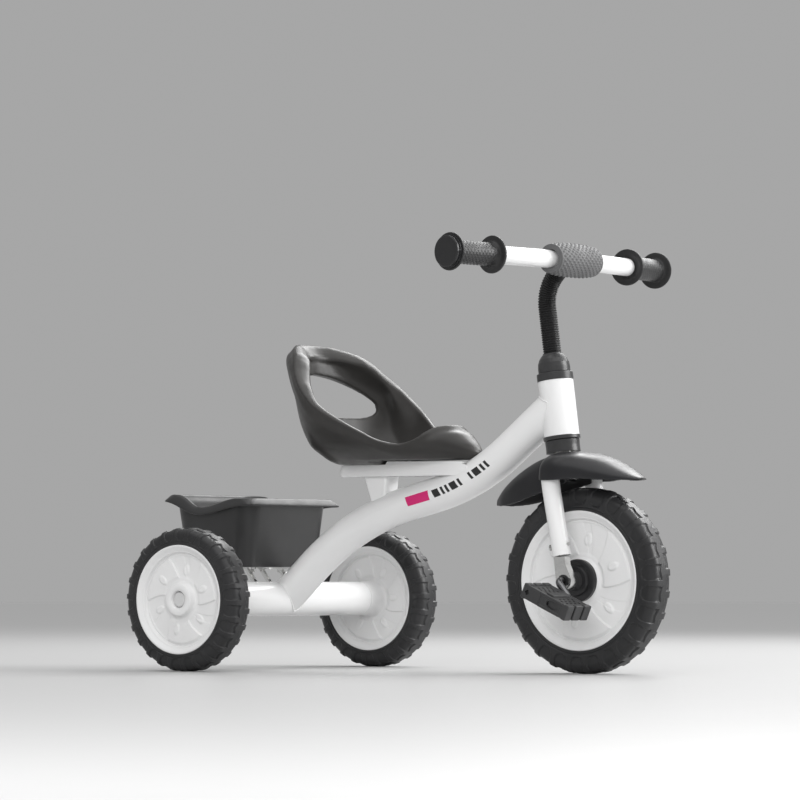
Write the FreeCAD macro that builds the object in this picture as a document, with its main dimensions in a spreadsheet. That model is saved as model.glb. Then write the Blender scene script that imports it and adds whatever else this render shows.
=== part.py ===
# Children's tricycle: welded steel frame, swept steering assembly with direct
# drive front wheel, two free-running rear wheels, moulded seat and basket.
#
# Frame: millimetres, +X forward, +Y to the rider's left, +Z up, floor at Z=0,
# origin on the floor under the middle of the overall box.  Rear-axle
# coordinates (X=0 at the rear axle) are used inside the sketches; every body's
# Placement moves them back by the sheet's x_shift.
import FreeCAD, Part
import Sketcher
import math
import os

V = FreeCAD.Vector
doc = FreeCAD.newDocument("tricycle")
dims = doc.addObject("Spreadsheet::Sheet", "dims")

TABLE = [
    ("x_shift", 250.4, "rear axle to the middle of the overall length"),
    ("rear_radius", 98.3, "rear tyre radius"),
    ("rear_track_half", 211.7, "middle plane of a rear wheel from the centre plane"),
    ("rear_disc_radius", 75.0, "visible radius of a rear wheel disc"),
    ("wheel_half_width", 22.5, "half the width of every tyre"),
    ("front_radius", 124.4, "front tyre radius"),
    ("front_hub_x", 520.3, "wheelbase"),
    ("front_disc_radius", 93.9, "visible radius of a front wheel disc"),
    ("frame_tube_radius", 24.0, "main, axle and head tube outside radius"),
    ("frame_wall", 1.6, "wall of the frame tubes"),
    ("axle_rod_radius", 5.0, "rear axle rod"),
    ("running_fit", 0.1, "radial running fit"),
    ("axle_tube_half", 167.5, "half the length of the rear axle tube"),
    ("head_base_x", 478.3, "head tube foot on the steering axis, x"),
    ("head_base_z", 318.3, "head tube foot on the steering axis, z"),
    ("rake_deg", 7.736, "steering axis leans back"),
    ("head_length", 75.8, "head tube"),
    ("steerer_radius", 12.7, "steerer tube outside"),
    ("steerer_bore", 10.2, "steerer tube inside"),
    ("stem_radius", 10.0, "stem tube outside"),
    ("sleeve_radius", 12.4, "ribbed stem sleeve outside"),
    ("bar_x", 494.4, "handlebar middle, x"),
    ("bar_z", 555.0, "handlebar height"),
    ("bar_radius", 12.25, "handlebar tube outside"),
    ("bar_wall", 1.5, "handlebar tube wall"),
    ("bar_sweep_deg", 6.1, "each half of the bar sweeps back"),
    ("bar_half", 238.0, "handlebar tube, half its length along the tube"),
    ("flange_radius", 25.2, "grip flanges"),
    ("grip_radius", 15.5, "grip outside"),
    ("grip_inner_at", 156.0, "inner grip flange along the bar"),
    ("grip_outer_at", 241.0, "outer grip flange along the bar"),
    ("pad_radius", 23.0, "bar pad"),
    ("pad_half", 48.0, "bar pad half length"),
    ("leg_y", 50.0, "fork leg from the centre plane"),
    ("leg_radius", 12.4, "fork leg outside"),
    ("leg_wall", 1.5, "fork leg wall"),
    ("crank_radius", 5.0, "one-piece crank rod"),
    ("crank_length", 35.6, "crank throw"),
    ("crank_angle_deg", 50.4, "right crank below the horizontal"),
    ("crank_y", 70.0, "plane of a crank arm"),
    ("crank_end_y", 127.5, "end of a pedal spindle"),
    ("pedal_in_y", 78.0, "inner end of a pedal"),
    ("pedal_out_y", 132.0, "outer end of a pedal"),
    ("pedal_length", 78.0, "pedal, front to rear"),
    ("pedal_height", 23.0, "pedal thickness"),
    ("pedal_tilt_deg", 24.0, "pedals rest nose down"),
    ("front_boss_radius", 28.7, "front hub boss"),
    ("plate_rear_x", 111.0, "seat plate rear end"),
    ("plate_front_x", 334.0, "seat plate front end"),
    ("plate_half_width", 22.0, "seat plate"),
    ("plate_low_z", 268.0, "seat plate underside"),
    ("plate_top_z", 284.0, "seat plate top"),
    ("sheet_thick", 2.0, "pressed sheet"),
    ("basket_rear_x", -143.9, "basket rim rear"),
    ("basket_front_x", 20.0, "basket rim front"),
    ("basket_half_width", 102.0, "basket rim half width"),
    ("basket_top_z", 240.0, "basket rim"),
    ("basket_floor_z", 143.0, "basket underside"),
    ("basket_wall", 2.6, "basket wall"),
    ("rim_overhang", 9.0, "basket rim flange"),
    ("seat_low_z", 284.3, "seat underside"),
    ("seat_wall", 5.0, "seat shell"),
    ("fender_wall", 3.0, "fender shell"),
]
row = 1
for alias, number, note in TABLE:
    dims.set("A%d" % row, note)
    dims.set("B%d" % row, str(number))
    dims.setAlias("B%d" % row, alias)
    row += 1
doc.recompute()


class D:
    """A dimension: its number and the sheet expression that drives it."""
    def __init__(self, v, e):
        self.v = float(v)
        self.e = e

    def __add__(self, o):
        return D(self.v + num(o), "(%s + %s)" % (self.e, txt(o)))
    __radd__ = __add__

    def __sub__(self, o):
        return D(self.v - num(o), "(%s - %s)" % (self.e, txt(o)))

    def __rsub__(self, o):
        return D(num(o) - self.v, "(%s - %s)" % (txt(o), self.e))

    def __mul__(self, o):
        return D(self.v * num(o), "(%s * %s)" % (self.e, txt(o)))
    __rmul__ = __mul__

    def __neg__(self):
        return D(-self.v, "(0 - %s)" % self.e)


def num(o):
    return o.v if isinstance(o, D) else float(o)


def txt(o):
    return o.e if isinstance(o, D) else "(%.6f)" % float(o)


d = {}
for alias, number, note in TABLE:
    d[alias] = D(dims.get(alias), "dims." + alias)
n = {k: x.v for k, x in d.items()}
SHIFT = V(-n["x_shift"], 0, 0)
FINAL = []


def bind(obj, prop, value):
    if isinstance(value, D):
        obj.setExpression(prop, value.e)
    else:
        obj.setExpression(prop, "%.6f" % float(value))


def place(obj, x, y, z, axis=None, angle=0.0):
    """Placement in rear-axle coordinates, shifted to the part's frame."""
    rot = FreeCAD.Rotation(axis, angle) if axis is not None else FreeCAD.Rotation()
    xs = x - d["x_shift"] if isinstance(x, D) else D(float(x), "%.6f" % float(x)) - d["x_shift"]
    obj.Placement = FreeCAD.Placement(V(num(xs), num(y), num(z)), rot)
    for prop, value in (("Placement.Base.x", xs), ("Placement.Base.y", y), ("Placement.Base.z", z)):
        if isinstance(value, D):
            obj.setExpression(prop, value.e)
    return obj


def final(obj, label):
    obj.Label = label
    FINAL.append(obj)
    return obj


def cyl(name, r, h, x, y, z, axis=None, angle=0.0):
    c = doc.addObject("Part::Cylinder", name)
    bind(c, "Radius", r)
    bind(c, "Height", h)
    return place(c, x, y, z, axis, angle)


def cone(name, r0, r1, h, x, y, z):
    """Upright cone, radius r0 at z and r1 at the top."""
    c = doc.addObject("Part::Cone", name)
    bind(c, "Radius1", r0)
    bind(c, "Radius2", r1)
    bind(c, "Height", h)
    return place(c, x, y, z)


def ycyl(name, r, y0, y1, x, z):
    """Cylinder along +Y between y0 and y1."""
    return cyl(name, r, y1 - y0, x, y0, z, V(1, 0, 0), -90)


def box(name, lx, ly, lz, x, y, z, axis=None, angle=0.0):
    b = doc.addObject("Part::Box", name)
    bind(b, "Length", lx)
    bind(b, "Width", ly)
    bind(b, "Height", lz)
    return place(b, x, y, z, axis, angle)


def cut(name, base, tool):
    c = doc.addObject("Part::Cut", name)
    c.Base = base
    c.Tool = tool
    return c


def fuse(name, shapes):
    c = doc.addObject("Part::MultiFuse", name)
    c.Shapes = shapes
    return c


def group(name, shapes):
    c = doc.addObject("Part::Compound", name)
    c.Links = shapes
    return c


# ---------------------------------------------------------------- sketches
COUNT = [0]


def new_body(name, x=0.0, y=0.0, z=0.0, axis=None, angle=0.0):
    b = doc.addObject("PartDesign::Body", name)
    return place(b, x, y, z, axis, angle)


def sketch(body, role, offset=None):
    COUNT[0] += 1
    s = body.newObject("Sketcher::SketchObject", "%s_sketch%d" % (body.Name, COUNT[0]))
    for f in body.Origin.OriginFeatures:
        if f.Role == role:
            s.AttachmentSupport = [(f, "")]
    s.MapMode = "FlatFace"
    if offset is not None:
        s.AttachmentOffset = offset
    return s


def polygon(s, pts):
    """Closed outline; each corner's two coordinates are driven constraints."""
    first = s.GeometryCount
    m = len(pts)
    xy = [V(num(p[0]), num(p[1]), 0) for p in pts]
    s.addGeometry([Part.LineSegment(xy[i], xy[(i + 1) % m]) for i in range(m)], False)
    cons = [Sketcher.Constraint("Coincident", first + i, 2, first + (i + 1) % m, 1) for i in range(m)]
    drive = []
    for i in range(m):
        g = first + i
        for kind, value, other in (("DistanceX", pts[i][0], -2), ("DistanceY", pts[i][1], -1)):
            v = num(value)
            if abs(v) < 1e-7:
                cons.append(Sketcher.Constraint("PointOnObject", g, 1, other))
            else:
                if v > 0:
                    c = Sketcher.Constraint(kind, -1, 1, g, 1, v)
                else:
                    c = Sketcher.Constraint(kind, g, 1, -1, 1, -v)
                c.Name = "c%d%s" % (g, kind[-1])
                cons.append(c)
                if isinstance(value, D):
                    drive.append((c.Name, value if v > 0 else -value))
    s.addConstraint(cons)
    for name, value in drive:
        s.setExpression("Constraints." + name, value.e)
    return s


def circle(s, x, y, r):
    g = s.addGeometry(Part.Circle(V(num(x), num(y), 0), V(0, 0, 1), num(r)), False)
    c = Sketcher.Constraint("Radius", g, num(r))
    c.Name = "r%d" % g
    cons = [c]
    drive = [(c.Name, r)]
    for kind, value, other in (("DistanceX", x, -2), ("DistanceY", y, -1)):
        v = num(value)
        if abs(v) < 1e-7:
            cons.append(Sketcher.Constraint("PointOnObject", g, 3, other))
        else:
            k = Sketcher.Constraint(kind, -1, 1, g, 3, v) if v > 0 else \
                Sketcher.Constraint(kind, g, 3, -1, 1, -v)
            k.Name = "p%d%s" % (g, kind[-1])
            cons.append(k)
            drive.append((k.Name, value if v > 0 else (-value if isinstance(value, D) else -v)))
    s.addConstraint(cons)
    for name, value in drive:
        if isinstance(value, D):
            s.setExpression("Constraints." + name, value.e)
    return s


def pad(body, s, length, mid=False, rev=False):
    p = body.newObject("PartDesign::Pad", body.Name + "_pad%d" % COUNT[0])
    p.Profile = s
    bind(p, "Length", length)
    if mid:
        p.SideType = "Symmetric"
    p.Reversed = rev
    s.Visibility = False
    return p


def pocket(body, s, length, mid=False, rev=False):
    p = body.newObject("PartDesign::Pocket", body.Name + "_pocket%d" % COUNT[0])
    p.Profile = s
    bind(p, "Length", length)
    if mid:
        p.SideType = "Symmetric"
    p.Reversed = rev
    s.Visibility = False
    return p


def revolve(body, s, ref="V_Axis"):
    r = body.newObject("PartDesign::Revolution", body.Name + "_turn%d" % COUNT[0])
    r.Profile = s
    r.ReferenceAxis = (s, [ref])
    r.Angle = 360.0
    s.Visibility = False
    return r


def fillet(body, base, pick, radius):
    """Rounds the edges of base that pick(edge) accepts."""
    doc.recompute()
    names = ["Edge%d" % (i + 1) for i, e in enumerate(base.Shape.Edges) if pick(e)]
    if not names:
        raise RuntimeError("no edge to round on " + base.Name)
    f = body.newObject("PartDesign::Fillet", body.Name + "_round%d" % COUNT[0])
    COUNT[0] += 1
    f.Base = (base, names)
    f.Radius = radius
    return f


def turned(label, role, pts, x=0.0, y=0.0, z=0.0, axis=None, angle=0.0, rounds=()):
    """A turned piece: outline (radius, station) about the body's own axis."""
    b = new_body(label, x, y, z, axis, angle)
    s = polygon(sketch(b, role), pts)
    f = revolve(b, s)
    for pick, radius in rounds:
        f = fillet(b, f, pick, radius)
    return final(b, label)


def ring_at(r, station, tol=0.15, axis="y"):
    """Picks circular edges of a radius at a station along the turning axis."""
    def pick(e):
        c = e.Curve
        if c.TypeId != "Part::GeomCircle" or abs(c.Radius - r) > tol:
            return False
        return abs((c.Center.y if axis == "y" else c.Center.z) - station) < tol
    return pick


def bent_path(s, pts, radii):
    """Straight runs joined by tangent arcs."""
    geo = []
    cur = V(pts[0][0], pts[0][1], 0)
    for i in range(1, len(pts) - 1):
        a = V(pts[i - 1][0], pts[i - 1][1], 0)
        b = V(pts[i][0], pts[i][1], 0)
        c = V(pts[i + 1][0], pts[i + 1][1], 0)
        u = (b - a).normalize()
        w = (c - b).normalize()
        turn = u.getAngle(w)
        t = radii[i - 1] * math.tan(turn / 2)
        p = b - u * t
        q = b + w * t
        bis = (w - u).normalize()
        centre = b + bis * (radii[i - 1] / math.cos(turn / 2))
        mid = centre - bis * radii[i - 1]
        geo.append(Part.LineSegment(cur, p))
        geo.append(Part.Arc(p, mid, q))
        cur = q
    geo.append(Part.LineSegment(cur, V(pts[-1][0], pts[-1][1], 0)))
    s.addGeometry(geo, False)
    return s


def pipe(label, role, pts, radii, r_out, r_in, x=0.0, y=0.0, z=0.0, axis=None, angle=0.0):
    """A bent tube: ring section carried along a path in one plane."""
    b = new_body(label, x, y, z, axis, angle)
    path = bent_path(sketch(b, role), pts, radii)
    doc.recompute()
    COUNT[0] += 1
    prof = b.newObject("Sketcher::SketchObject", "%s_section" % b.Name)
    prof.AttachmentSupport = [(path, "Edge1")]
    prof.MapMode = "NormalToEdge"
    prof.MapPathParameter = 0.0
    circle(prof, 0.0, 0.0, r_out)
    if r_in is not None:
        circle(prof, 0.0, 0.0, r_in)
    doc.recompute()
    p = b.newObject("PartDesign::AdditivePipe", b.Name + "_pipe")
    p.Profile = prof
    p.Spine = (path, ["Edge%d" % (i + 1) for i in range(2 * len(pts) - 3)])
    path.Visibility = False
    prof.Visibility = False
    return b


AX = V(0, 1, 0)
HX, HZ, RAKE = n["head_base_x"], n["head_base_z"], n["rake_deg"]


def steer(b_or_label):
    return dict(x=d["head_base_x"], y=0.0, z=d["head_base_z"], axis=AX, angle=-RAKE)


R = d["frame_tube_radius"]
WALL = d["frame_wall"]
AZ = d["rear_radius"]

# ------------------------------------------------------------------- frame
# Rear axle tube, a plain tube across the tricycle.
b = new_body("axle_tube_body", 0.0, 0.0, AZ)
s = circle(circle(sketch(b, "XZ_Plane"), 0.0, 0.0, R), 0.0, 0.0, R - WALL)
pad(b, s, d["axle_tube_half"] * 2, mid=True)
final(b, "rear_axle_tube")

# Main tube: up from the axle tube, a long flat run under the seat, then up to
# the head tube; both ends are mitred to the tubes they are welded to.
t1 = math.atan(0.874)
main_pts = [(0.0, 98.3), (125.7, 208.1), (337.2, 258.7), (472.2, 363.2)]
mb = pipe("main_tube_run", "XZ_Plane", main_pts, [406.0, 330.0], R, R - WALL)
axle_cope = ycyl("axle_cope", R, -60.0, D(60, "60"), 0.0, AZ)
head_cope = cyl("head_cope", R, 140.0, HX - 0.1346 * -30.0, 0.0, HZ - 0.9909 * 30.0, AX, -RAKE)
main = cut("main_tube_mitred", mb, fuse("main_copes", [axle_cope, head_cope]))
final(main, "main_tube")

turned("head_tube", "XZ_Plane", [
    (R - 2.7, 0.0), (R, 0.0), (R, d["head_length"]), (R - 2.7, d["head_length"])], **steer(0))

# Head bearings: plastic bushes with a wide collar at each end of the head tube.
SB = d["steerer_radius"] + d["running_fit"]
turned("headset_bush_lower", "XZ_Plane", [
    (SB, -5.3), (25.0, -5.3), (25.0, 0.0), (R - 2.7, 0.0), (R - 2.7, 12.0), (SB, 12.0)],
    **steer(0), rounds=[(ring_at(25.0, -5.3, axis="z"), 1.2)])
HL = d["head_length"]
turned("headset_bush_upper", "XZ_Plane", [
    (SB, HL - 12), (R - 2.7, HL - 12), (R - 2.7, HL), (24.6, HL), (24.6, HL + 10.7), (SB, HL + 10.7)],
    **steer(0), rounds=[(ring_at(24.6, n["head_length"] + 10.7, axis="z"), 1.5)])

# Closed ends of the axle tube, holding the rod.
plugs = []
for side, tag in ((-1, "right"), (1, "left")):
    h = d["axle_tube_half"]
    y0 = -h if side < 0 else h - 3
    p = ycyl("plug_" + tag, R - WALL, y0, y0 + 3, 0.0, AZ)
    q = ycyl("plug_bore_" + tag, d["axle_rod_radius"], y0 - 1, y0 + 4, 0.0, AZ)
    plugs.append(cut("plug_drilled_" + tag, p, q))
final(group("axle_plug_pair", plugs), "axle_tube_plugs")

rod_end = d["rear_track_half"] + 17
rod = ycyl("axle_rod_bar", d["axle_rod_radius"], -rod_end, rod_end, 0.0, AZ)
final(rod, "rear_axle_rod")

wash, caps = [], []
for side, tag in ((-1, "right"), (1, "left")):
    h = d["axle_tube_half"]
    y0 = -h - 0.9 if side < 0 else h + 0.1
    wash.append(cut("washer_ring_" + tag,
                    ycyl("washer_blank_" + tag, 12.0, y0, y0 + 0.8, 0.0, AZ),
                    ycyl("washer_hole_" + tag, d["axle_rod_radius"], y0 - 1, y0 + 2, 0.0, AZ)))
    c0 = d["rear_track_half"] + 14.6
    c1 = d["rear_track_half"] + 19.6
    lo, hi = (-c1, -c0) if side < 0 else (c0, c1)
    blank = ycyl("cap_blank_" + tag, 10.0, lo, hi, 0.0, AZ)
    blank_r = doc.addObject("Part::Fillet", "cap_round_" + tag)
    doc.recompute()
    blank_r.Base = blank
    target = -n["rear_track_half"] - 19.6 if side < 0 else n["rear_track_half"] + 19.6
    blank_r.Edges = [(i + 1, 2.0, 2.0) for i, e in enumerate(blank.Shape.Edges)
                     if e.Curve.TypeId == "Part::GeomCircle" and abs(e.Curve.Center.y - target) < 0.1]
    socket = ycyl("cap_socket_" + tag, d["axle_rod_radius"],
                  -rod_end if side < 0 else c0 - 1, (-c0 + 1) if side < 0 else rod_end, 0.0, AZ)
    caps.append(cut("cap_" + tag, blank_r, socket))
final(group("washer_pair", wash), "rear_axle_washers")
final(group("cap_pair", caps), "rear_axle_caps")

# Seat plate: pressed channel, open below, rounded at the rear, with a raised
# front half; it runs on to the main tube.
b = new_body("seat_plate_body")
px0, px1, pz0, pz1 = d["plate_rear_x"], d["plate_front_x"], d["plate_low_z"], d["plate_top_z"]
outline = [(px0, pz0 + 4), (px0 + 1.5, pz0), (px1, pz0), (px1, pz1 - 2), (px1 - 8, pz1),
           (px0 + 3, pz1), (px0, pz1 - 5)]
s = polygon(sketch(b, "XZ_Plane"), outline)
f = pad(b, s, d["plate_half_width"] * 2, mid=True)
f = fillet(b, f, lambda e: e.Curve.TypeId == "Part::GeomLine" and abs(e.Vertexes[0].Z - e.Vertexes[1].Z) > 3
           and abs(e.Vertexes[0].Y - e.Vertexes[1].Y) < 0.01 and e.Vertexes[0].X < n["plate_rear_x"] + 4, 9.0)
tk = d["sheet_thick"]
s = polygon(sketch(b, "XZ_Plane"), [(px0 + 9, pz0 - 3), (px1 + 2, pz0 - 3), (px1 + 2, pz1 - tk), (px0 + 9, pz1 - tk)])
f = pocket(b, s, (d["plate_half_width"] - tk) * 2, mid=True)
plate_cope = pipe("plate_cope_run", "XZ_Plane", main_pts, [406.0, 330.0], R, None)
b2 = cut("seat_plate_mitred", b, plate_cope)
final(b2, "seat_plate")
# Raised pad on the plate under the front of the seat.
b = new_body("seat_riser_body")
s = polygon(sketch(b, "XZ_Plane"), [(194.5, pz1), (px1 - 2, pz1), (px1 - 8, pz1 + 2.6), (198.5, pz1 + 4.6)])
f = pad(b, s, d["plate_half_width"] * 2 - 0.6, mid=True)
riser_cope = pipe("riser_cope_run", "XZ_Plane", main_pts, [406.0, 330.0], R, None)
final(cut("riser_mitred", b, riser_cope), "seat_riser")

# Gusset: tapering box strut between the plate and the main tube.
b = new_body("gusset_body")
s = polygon(sketch(b, "XZ_Plane"), [(151.0, pz0), (192.0, pz0), (188.0, 232.0), (166.0, 226.0)])
f = pad(b, s, 30.0, mid=True)
f = fillet(b, f, lambda e: abs(e.Vertexes[0].Z - e.Vertexes[-1].Z) > 20, 4.0)
s = polygon(sketch(b, "XZ_Plane"), [(153.6, pz0 + 1), (189.6, pz0 + 1), (185.8, 225.0), (168.2, 220.0)])
f = pocket(b, s, 25.6, mid=True)
gusset_cope = pipe("gusset_cope_run", "XZ_Plane", main_pts, [406.0, 330.0], R, None)
final(cut("gusset_mitred", b, gusset_cope), "seat_gusset")

# Seat screws: button heads inside the pan, through the plate, nut below.
bolts = []
for i, (bx, by) in enumerate(((136.0, -12.0), (136.0, 12.0), (230.0, -12.0), (230.0, 12.0))):
    top = 291.9
    bolts.append(fuse("seat_bolt_%d" % i, [
        cyl("seat_shank_%d" % i, 3.0, 21.0, bx, by, top - 20.0),
        cyl("seat_head_%d" % i, 6.0, 3.4, bx, by, top),
        cyl("seat_nut_%d" % i, 5.4, 5.0, bx, by, n["plate_top_z"] - n["sheet_thick"] - 5.1)]))
final(group("seat_bolt_set", bolts), "seat_bolts")

# Basket bracket: flat plate on four narrow sloping struts from the axle tube.
b = new_body("bracket_plate_body")
bz = d["basket_floor_z"]
s = polygon(sketch(b, "XY_Plane", FreeCAD.Placement(V(0, 0, n["basket_floor_z"] - 2.7), FreeCAD.Rotation())),
            [(-112.0, -62.0), (-8.0, -62.0), (-8.0, 62.0), (-112.0, 62.0)])
f = pad(b, s, 2.4)
f = fillet(b, f, lambda e: abs(e.Vertexes[0].Z - e.Vertexes[-1].Z) > 2, 10.0)
parts = [b]
for i, by in enumerate((-56.0, -24.0, 18.0, 50.0)):
    st = new_body("strut_body_%d" % i)
    s = polygon(sketch(st, "XZ_Plane", FreeCAD.Placement(V(0, 0, -by), FreeCAD.Rotation())),
                [(-28.0, bz - 2.6), (-23.0, bz - 2.6), (-5.0, 117.0), (-10.0, 116.0)])
    pad(st, s, 6.0, rev=True)
    parts.append(st)
br = fuse("bracket_fused", parts)
final(cut("bracket_mitred", br, ycyl("bracket_cope", R, -90.0, D(90, "90"), 0.0, AZ)), "basket_bracket")

# --------------------------------------------------------------- basket
def rounded_rect(s, x0, x1, hw, r):
    pts = [(x0 + r, -hw), (x1 - r, -hw), (x1, -hw + r), (x1, hw - r),
           (x1 - r, hw), (x0 + r, hw), (x0, hw - r), (x0, -hw + r)]
    cs = [(x1 - r, -hw + r, -90, 0), (x1 - r, hw - r, 0, 90), (x0 + r, hw - r, 90, 180), (x0 + r, -hw + r, 180, 270)]
    geo = []
    for k in range(4):
        a = V(*pts[2 * k], 0)
        c = V(*pts[2 * k + 1], 0)
        geo.append(Part.LineSegment(a, c))
        cx, cy, a0, a1 = cs[k]
        geo.append(Part.ArcOfCircle(Part.Circle(V(cx, cy, 0), V(0, 0, 1), r), math.radians(a0), math.radians(a1)))
    s.addGeometry(geo, False)
    return s


def loft(body, sketches, subtract=False):
    kind = "PartDesign::SubtractiveLoft" if subtract else "PartDesign::AdditiveLoft"
    COUNT[0] += 1
    f = body.newObject(kind, body.Name + "_loft%d" % COUNT[0])
    f.Profile = sketches[0]
    f.Sections = sketches[1:]
    f.Ruled = True
    for k in sketches:
        k.Visibility = False
    return f


def at_z(z):
    return FreeCAD.Placement(V(0, 0, z), FreeCAD.Rotation())


b = new_body("basket_body")
x0, x1, hw = n["basket_rear_x"], n["basket_front_x"], n["basket_half_width"]
ov, zt, zb, w = n["rim_overhang"], n["basket_top_z"], n["basket_floor_z"], n["basket_wall"]
low = rounded_rect(sketch(b, "XY_Plane", at_z(zb)), x0 + 26, x1 - 22, hw - 18, 20)
high = rounded_rect(sketch(b, "XY_Plane", at_z(zt - 10)), x0 + ov, x1 - ov, hw - ov, 26)
loft(b, [low, high])
rim = rounded_rect(sketch(b, "XY_Plane", at_z(zt - 10)), x0, x1, hw, 9)
f = pad(b, rim, 10.0)
f = fillet(b, f, lambda e: e.BoundBox.ZMin > zt - 0.1 and e.BoundBox.ZMax < zt + 0.1, 4.0)
inl = rounded_rect(sketch(b, "XY_Plane", at_z(zb + w)), x0 + 26 + w, x1 - 22 - w, hw - 18 - w, 18)
inh = rounded_rect(sketch(b, "XY_Plane", at_z(zt + 2)), x0 + ov + 0.5, x1 - ov - 0.5, hw - ov - 0.5, 25)
loft(b, [inl, inh], True)
lip = rounded_rect(sketch(b, "XY_Plane", at_z(zt - 11)), x0 + 2.4, x1 - 2.4, hw - 2.4, 6.6)
lip2 = rounded_rect(lip, x0 + ov - w + 2.0, x1 - ov + w - 2.0, hw - ov + w - 2.0, 27)
pocket(b, lip, 8.4, rev=True)
# raised centre pad for the screws
bs = []
for i, (bx, by) in enumerate(((-88.0, -34.0), (-88.0, 34.0), (-36.0, -34.0), (-36.0, 34.0))):
    bs.append(cyl("basket_hole_%d" % i, 2.6, 12.0, bx, by, zb - 4.0))
    bs.append(cone("basket_sink_%d" % i, 2.6, 5.0, 2.4, bx, by, zb + w - 2.2))
holes = fuse("basket_holes", bs)
basket = cut("basket_drilled", b, holes)
final(basket, "basket")
bb = []
for i, (bx, by) in enumerate(((-88.0, -34.0), (-88.0, 34.0), (-36.0, -34.0), (-36.0, 34.0))):
    bb.append(fuse("basket_bolt_%d" % i, [
        cyl("basket_shank_%d" % i, 2.5, 10.0, bx, by, zb - 8.0),
        cone("basket_head_%d" % i, 2.4, 4.5, 2.1, bx, by, zb + w - 2.2),
        cyl("basket_nut_%d" % i, 4.4, 4.0, bx, by, zb - 6.8)]))
final(group("basket_bolt_set", bb), "basket_bolts")
# clearance holes for the basket and seat screws in the sheet parts
for owner, shanks in (("bracket_mitred", [(bx, by, 2.5) for bx, by in ((-88.0, -34.0), (-88.0, 34.0), (-36.0, -34.0), (-36.0, 34.0))]),
                      ("seat_plate_mitred", [(bx, by, 3.0) for bx, by in ((136.0, -12.0), (136.0, 12.0), (230.0, -12.0), (230.0, 12.0))]),
                      ("riser_mitred", [(bx, by, 3.0) for bx, by in ((230.0, -12.0), (230.0, 12.0))])):
    base = doc.getObject(owner)
    tools = [cyl("%s_hole_%d" % (owner, i), r, 80.0, bx, by, (zb - 40.0) if owner.startswith("bracket") else 265.0)
             for i, (bx, by, r) in enumerate(shanks)]
    label = base.Label
    c = cut(owner + "_drilled", base, fuse(owner + "_holes", tools))
    FINAL.remove(base)
    base.Label = owner + "_blank"
    final(c, label)

# ------------------------------------------------------------------ seat
# One-piece shell: egg-shaped level sections, cut by the side view of the rim.
SEAT = [  # height, rear x, front x, half width
    (284.3, 115.0, 322.0, 50.0), (289.0, 104.0, 334.0, 64.0), (296.0, 96.0, 341.0, 78.0),
    (308.0, 84.0, 336.0, 97.0), (322.0, 79.0, 321.0, 109.0), (336.0, 75.0, 303.0, 117.0),
    (356.0, 71.0, 298.0, 124.0), (376.0, 66.0, 298.0, 127.0), (392.0, 56.0, 298.0, 127.0),
    (412.0, 41.0, 298.0, 119.0), (428.0, 29.0, 298.0, 106.0), (442.0, 27.0, 298.0, 92.0),
    (454.0, 35.0, 298.0, 72.0), (462.0, 45.0, 298.0, 52.0)]


def egg(z, xr, xf, hw):
    """Closed smooth level outline of the seat."""
    pts = []
    xm = 150.0
    for k in range(24):
        t = 2 * math.pi * k / 24
        c, s_ = math.cos(t), math.sin(t)
        if c >= 0:
            x, y = xm + (xf - xm) * c, hw * s_ * (1 - 0.3 * c)
        else:
            x, y = xm + (xm - xr) * c, hw * s_
        pts.append(V(x, y, z))
    c = Part.BSplineCurve()
    c.interpolate(pts, PeriodicFlag=True)
    return Part.Wire(c.toShape())


def seat_loft(inset, floor):
    rings = []
    for z, xr, xf, hw_ in SEAT:
        if z < floor:
            continue
        rings.append(egg(z, xr + inset, xf - inset, hw_ - inset))
    return rings


sw = n["seat_wall"]
outer = Part.makeLoft(seat_loft(0.0, 0.0), True, False)
inner_rings = [egg(291.6, 112.0, 325.0, 56.0)] + seat_loft(sw, 296.0)
top = [egg(480.0, 60.0, 290.0, 30.0)]
inner = Part.makeLoft(inner_rings + top, True, False)
rim_side = [(-40, 520), (20, 470), (50, 459), (79, 440), (98, 418), (121, 394), (148, 368), (173, 349), (202, 332),
            (232, 315), (256, 311), (276, 319), (290, 330), (303, 336), (318, 329), (332, 316), (350, 300), (400, 290), (400, 520)]
c = Part.BSplineCurve()
c.interpolate([V(x, -300, z) for x, z in rim_side[2:-2]])
edge = [Part.LineSegment(V(rim_side[0][0], -300, rim_side[0][1]), V(rim_side[2][0], -300, rim_side[2][1])).toShape(),
        c.toShape(),
        Part.LineSegment(V(350, -300, 300), V(400, -300, 520)).toShape(),
        Part.LineSegment(V(400, -300, 520), V(-40, -300, 520)).toShape()]
trim = Part.Face(Part.Wire(edge)).extrude(V(0, 600, 0))
slot = Part.BSplineCurve()
slot.interpolate([V(-60, y, z) for y, z in ((0, 352), (40, 351), (74, 352), (94, 362), (90, 378), (70, 396), (38, 412),
                                            (0, 417), (-38, 412), (-70, 396), (-90, 378), (-94, 362), (-74, 352), (-40, 351))],
                 PeriodicFlag=True)
hole = Part.Face(Part.Wire(slot.toShape())).extrude(V(190, 0, 0))
shell = outer.cut(inner).cut(trim).cut(hole)
# thick padded pommel and floor stay solid at the very front
for bx, by in ((136.0, -12.0), (136.0, 12.0), (230.0, -12.0), (230.0, 12.0)):
    shell = shell.cut(Part.makeCylinder(3.0, 60, V(bx, by, 260)))
    shell = shell.cut(Part.makeCylinder(6.0, 160, V(bx, by, 291.9)))
riser_space = Part.makeBox(150.0, 44.6, 6.0, V(193.0, -22.3, 283.0))
shell = shell.cut(riser_space)
doc.recompute()
tube_space = pipe("seat_tube_space", "XZ_Plane", main_pts, [406.0, 330.0], R + 0.4, None)
doc.recompute()
clear = tube_space.Shape.copy()
clear.translate(V(n["x_shift"], 0, 0))
shell = shell.cut(clear)
solids = sorted(shell.Solids, key=lambda q: -q.Volume)
seat = doc.addObject("Part::Feature", "seat_shell")
seat.Shape = solids[0]
seat.Placement = FreeCAD.Placement(SHIFT, FreeCAD.Rotation())
final(seat, "seat")

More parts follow.
